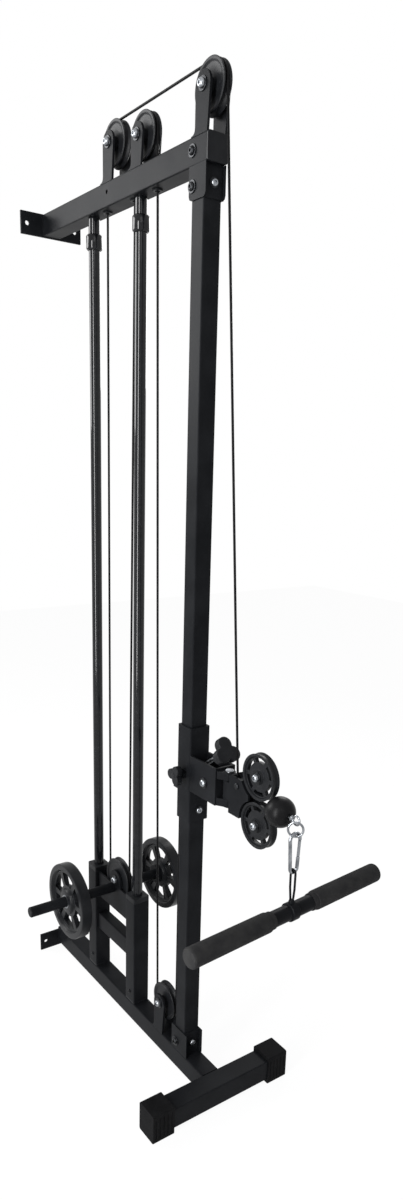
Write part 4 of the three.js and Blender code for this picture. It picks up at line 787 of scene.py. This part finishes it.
path = [leg(NOSE_SHARE)] + bend(HOOK_UPPER, HOOK_TOP_RADIUS, 0, 180)
path += bend(HOOK_LOWER, HOOK_BOTTOM_RADIUS, 180, 360) + [leg(HINGE_SHARE)]
hook = wire("fine_snap_hook", path, HOOK_WIRE)
fit(paint(hook, nickel_plate), "hook", "zinc_steel", "snap_hook")
gate_ends = [leg(HINGE_SHARE + HINGE_GAP / HOOK_SPAN), leg(NOSE_SHARE - NOSE_GAP / HOOK_SPAN)]
gate = wire("fine_hook_gate", gate_ends, GATE_WIRE)
fit(paint(gate, nickel_plate), "gate", "zinc_steel", "hook_gate")
print("snap hook, length in mm:", HOOK_SPAN + HOOK_TOP_RADIUS + HOOK_BOTTOM_RADIUS + 2 * HOOK_WIRE)

# %% [markdown]
# The hand bar is tube with a plain collar in its middle. A bent black rod makes a slim loop from
# the collar up to the hook. The grips are ground foam sleeves with rounded ends.

# %% Hand bar and grips
BAR_HEIGHT, BAR_TURN = 590, math.radians(5)
LOOP_TOP, LOOP_WIRE = 679.65, 2.2
bar_place = at(0, EYE_REACH, BAR_HEIGHT)
bar_lie = (0, math.pi / 2, BAR_TURN)


BAR = [(0, 247), (14.5, 247), (15.5, 246), (15.5, 9.6), (17.7, 9), (18.5, 8.2)]
bar = turned("bar", mirrored(BAR, bored=False), bar_lie, bar_place, 48)
LOOP_HALF, LOOP_WAIST, LOOP_FOOT, LOOP_STEPS = 6.6, 6.2, 2.6, 16
LOOP_CENTRE = LOOP_TOP - LOOP_WIRE - LOOP_HALF
loop_side = [(LOOP_FOOT, BAR_HEIGHT + 15), (LOOP_WAIST, BAR_HEIGHT + 48)]
loop_points = [at(0, EYE_REACH - y, height) for y, height in loop_side]
loop_points += [at(0, EYE_REACH - LOOP_HALF * math.cos(a), LOOP_CENTRE + LOOP_HALF * math.sin(a))
                for a in (math.pi * i / LOOP_STEPS for i in range(LOOP_STEPS + 1))]
loop_points += [at(0, EYE_REACH + y, height) for y, height in reversed(loop_side)]
loop = wire("loop", loop_points, LOOP_WIRE)
foot = turned("foot", [(0, 12), (6.4, 12), (6.4, 20), (5, 24), (0, 25)], UPWARD, bar_place, 32)
paint(bar, powder_coat)
paint(loop, powder_coat)
paint(foot, powder_coat)
fit(welded("fine_hand_bar", [bar, loop, foot]), "bar", "paint_black", "hand_bar")
GRIP = [(0, 251.3), (14, 251.3), (17.4, 250.7), (19, 249), (19.5, 246.8), (19.5, 67), (19, 64.6),
        (17.6, 63.6), (17.4, 62), (17.4, 54), (16.6, 52), (15.9, 52), (15.9, 247.3), (0, 247.3)]
for name, sign in SIDES.items():
    grip = turned("fine_grip_" + name, [(r, sign * z) for r, z in GRIP], bar_lie, bar_place, 56)
    fit(paint(grip, grip_foam), "bar", "grip_foam", "foam_grip_" + name)
print("hand bar, length in mm:", 2 * GRIP[0][1])

# %% [markdown]
# The cable runs from the ball over the wheels to the slider. Stretches round a wheel keep their
# shape. A straight stretch between two bodies is a plain tube, laid where it stands and tied to
# neither body.

# %% Cable round the wheels
CABLE_RADIUS, CABLE_RESOLUTION = 2.5, 4


def arc(reach, height, radius, start, end, steps=24):
    """Points round a wheel in the middle plane; angles run from forward towards up."""
    angles = [math.radians(start + (end - start) * i / steps) for i in range(steps + 1)]
    return [at(0, reach + radius * math.cos(a), height + radius * math.sin(a)) for a in angles]


def cable(name, points):
    """A stretch of cable through points."""
    return paint(wire(name, points, CABLE_RADIUS, CABLE_RESOLUTION), sheath)


ROLLER_LINE, ENTRY_HEIGHT, YOKE_EXIT = 13, 806, 845.5
entry_reach = ROLLER_AXLE[0] - ROLLER_LINE
top_run = arc(*TOP_AXLES["front"], LINE, 0, 90) + arc(*TOP_AXLES["rear"], LINE, 90, 180)
fit(cable("fine_top_run", top_run), "frame", "cable_sheath", "cable_top_run")
low_run = arc(*TOP_AXLES["middle"], LINE, 180, 0, 36) + arc(*LOW_AXLE, LINE, 180, 360, 36)
fit(cable("fine_low_run", low_run), "frame", "cable_sheath", "cable_low_run")
bend_run = arc(*CARRIAGE_AXLE, CARRIAGE_LINE, 180, 360, 40)
fit(cable("fine_carriage_bend", bend_run), "carriage", "cable_sheath", "cable_carriage_bend")
yoke_run = [at(0, entry_reach, ENTRY_HEIGHT)] + arc(*ROLLER_AXLE, ROLLER_LINE, 180, 270, 16)
yoke_run += [at(0, YOKE_EXIT, CABLE_HEIGHT)]
fit(cable("fine_yoke_bend", yoke_run), "yoke", "cable_sheath", "cable_yoke_bend")
print("points along the low run:", len(low_run))


# %% Cable between two bodies
def stretch(name, first, last, body_first, body_last, *nodes):
    """A straight run of cable from first to last, laid where it stands."""
    piece = cable(name, [first, last])
    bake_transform(piece)
    if nodes:
        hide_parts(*nodes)
    return piece


def beside(axle, line, lift):
    """The place where a cable leaves a wheel: line ahead of its axle and lift above it."""
    return at(0, axle[0] + line, axle[1] + lift)


# A run ends a hair short of the bend it meets.
GAP, ENTRY_GAP = 0.3, 0.1
ANCHOR_BOTTOM = 718
entry = at(0, entry_reach, ENTRY_HEIGHT + ENTRY_GAP)
leaving = beside(TOP_AXLES["front"], LINE, -GAP)
# The yoke turns under the last stretch of the front run, so that is a run of its own.
ENTRY_LONG, FRONT_LONG = 70, 1243
joint_point = entry.lerp(leaving, ENTRY_LONG / FRONT_LONG)
stretch("fine_front_run", leaving, joint_point, "frame", "slider", "cable_front_run")
stretch("fine_entry_run", joint_point, entry, "slider", "yoke")
stretch("fine_rear_run", beside(TOP_AXLES["rear"], -LINE, -GAP),
        beside(CARRIAGE_AXLE, -CARRIAGE_LINE, GAP), "frame", "carriage", "cable_rear_run")
stretch("fine_rising_run", beside(TOP_AXLES["middle"], -LINE, -GAP),
        beside(CARRIAGE_AXLE, CARRIAGE_LINE, GAP), "frame", "carriage", "cable_rising_run")
return_reach = LOW_AXLE[0] + LINE
stretch("fine_return_run", beside(LOW_AXLE, LINE, GAP), at(0, return_reach, ANCHOR_BOTTOM),
        "frame", "slider", "cable_return_run")
stretch("fine_pull_run", at(0, YOKE_EXIT + GAP, CABLE_HEIGHT),
        at(0, BALL_REACH + BALL_FLAT, CABLE_HEIGHT), "yoke", "ball", "cable_pull_run")
print("front run, mm:", round((leaving - entry).length / MM))

# %% [markdown]
# Pins and sleeves: the hinge pin's polished head lies on the top knuckle, the roller turns on a
# small pin, and a swaged sleeve stops the cable on the slider's lug.

# %% Pins and the end sleeve
HINGE_REACH = 785
pin = turned("fine_hinge_pin", [
    (0, 727.7), (6.9, 727.7), (7.6, 728.4), (7.6, 730.7), (5, 730.7), (5, 806.3), (9, 806.3),
    (9, 808.4), (8, 809.3), (0, 809.3),
], UPWARD, at(0, HINGE_REACH, 0), 40)
fit(paint(pin, zinc_plate), "slider", "zinc_steel", "yoke_hinge_pin")
roller_pin = turned("fine_roller_pin", [
    (0, -15), (5, -15), (6, -14.2), (6, -12.3), (3, -12.3), (3, 14.2), (2.4, 14.6), (0, 14.6),
], SIDEWAYS, at(0, *ROLLER_AXLE), 32)
fit(paint(roller_pin, black_oxide), "yoke", "zinc_steel", "yoke_roller_pin")
stop = turned("fine_anchor", [
    (0, 718.3), (5.2, 718.3), (6, 719.1), (6, 731.5), (5.2, 732.3), (0, 732.3),
], UPWARD, at(0, return_reach, 0), 32)
fit(paint(stop, zinc_plate), "slider", "zinc_steel", "cable_anchor_ferrule")
print("hinge pin, length in mm:", round(pin.dimensions.z / MM, 1))

# %% [markdown]
# Plastic grommets line the three holes in the boom's lower face, where the cable passes.

# %% Grommets
BOOM_BOTTOM = 1927
CABLE_HOLES = {"rear": 285.1, "middle": 400.2, "low": 486.6}
for name, reach in CABLE_HOLES.items():
    grommet = turned("grommet_" + name, [
        (5, 2.4), (6.4, 2.4), (6.4, 0), (10.5, 0), (10.5, -2.2), (9.6, -3), (6, -3), (5, -2.2),
        (5, 2.4),
    ], UPWARD, at(0, reach, BOOM_BOTTOM), 36)
    fit(paint(grommet, nylon), "frame", "moulded_nylon")
print("grommets:", len(CABLE_HOLES))

# %% [markdown]
# A plain pale floor and background. Seen directly, or in a mirror, they are white as in the
# photograph. For the light on the tower they are a soft grey, so white never adds light.

# %% Floor and background
WHITE, PALE, FLOOR_GREY = (1, 1, 1, 1), (0.65, 0.65, 0.66, 1), (0.9, 0.9, 0.9, 1)
FLOOR_WIDE_M, FLOOR_MIDDLE, FLOOR_HEIGHT = 12, 600, -0.2
# The floor keeps this share of its own light, so that the tower's shadow shows faintly.
SHADOW_SHARE = 0.06


def seen(tree):
    """A factor that is 1 where the camera, a mirror or glass looks."""
    rays = add(tree, "ShaderNodeLightPath").outputs
    greater = {"operation": "MAXIMUM"}
    either = add(tree, "ShaderNodeMath", greater, i0=rays["Is Camera Ray"],
                 i1=rays["Is Glossy Ray"]).outputs[0]
    return add(tree, "ShaderNodeMath", greater, i0=either,
               i1=rays["Is Transmission Ray"]).outputs[0]


clear()
bpy.ops.mesh.primitive_plane_add(size=FLOOR_WIDE_M, location=at(0, FLOOR_MIDDLE, FLOOR_HEIGHT))
floor = bpy.context.object
floor.name = "floor"
floor_paint = bpy.data.materials.new("white_floor")
floor_paint.use_nodes = True
tree = floor_paint.node_tree
tree.nodes.clear()
matt = add(tree, "ShaderNodeBsdfDiffuse", Color=FLOOR_GREY).outputs[0]
bright = add(tree, "ShaderNodeEmission", Color=WHITE, Strength=1.0).outputs[0]
share = add(tree, "ShaderNodeMath", {"operation": "MULTIPLY"}, i0=seen(tree),
            i1=1 - SHADOW_SHARE).outputs[0]
both = add(tree, "ShaderNodeMixShader", i0=share, i1=matt, i2=bright).outputs[0]
add(tree, "ShaderNodeOutputMaterial", Surface=both)
floor.data.materials.append(floor_paint)

world = bpy.data.worlds.new("studio")
bpy.context.scene.world = world
world.use_nodes = True
tree = world.node_tree
tree.nodes.clear()
colour = add(tree, "ShaderNodeMix", {"data_type": "RGBA"}, i0=seen(tree), i6=PALE,
             i7=WHITE).outputs[2]
sky = add(tree, "ShaderNodeBackground", Color=colour, Strength=1.0).outputs[0]
add(tree, "ShaderNodeOutputWorld", Surface=sky)
print("floor, m:", FLOOR_WIDE_M)

# %% [markdown]
# Soft studio light. A large panel high on the left, behind the wall's plane, grazes the left faces
# near the top. A tall strip on the left draws the long highlight of the rods. Weak panels in front
# and on the right open the shadows.

# %% Lamps
def panel(name, place, target, wide, high, power):
    """A rectangular area lamp that looks at a place. Its sides are in metres, its power in W."""
    clear()
    bpy.ops.object.light_add(type="AREA", location=place)
    lamp = bpy.context.object
    lamp.name = name
    lamp.data.shape = "RECTANGLE"
    lamp.data.size = wide
    lamp.data.size_y = high
    lamp.data.energy = power
    lamp.rotation_euler = (target - place).to_track_quat("-Z", "Y").to_euler()
    return lamp


middle = at(0, 500, 1000)
panel("left_panel", at(-2300, -2300, 2550), at(0, 500, 1900), wide=2.0, high=1.9, power=125)
panel("rod_strip", at(-2650, 1500, 1400), at(0, 400, 1100), wide=0.5, high=2.6, power=120)
panel("front_panel", at(-1500, 3300, 3200), middle, wide=1.4, high=1.4, power=10)
panel("right_panel", at(1900, -700, 2200), middle, wide=1.0, high=1.0, power=20)
print("lamps, W:", sum(lamp.energy for lamp in bpy.data.lights))
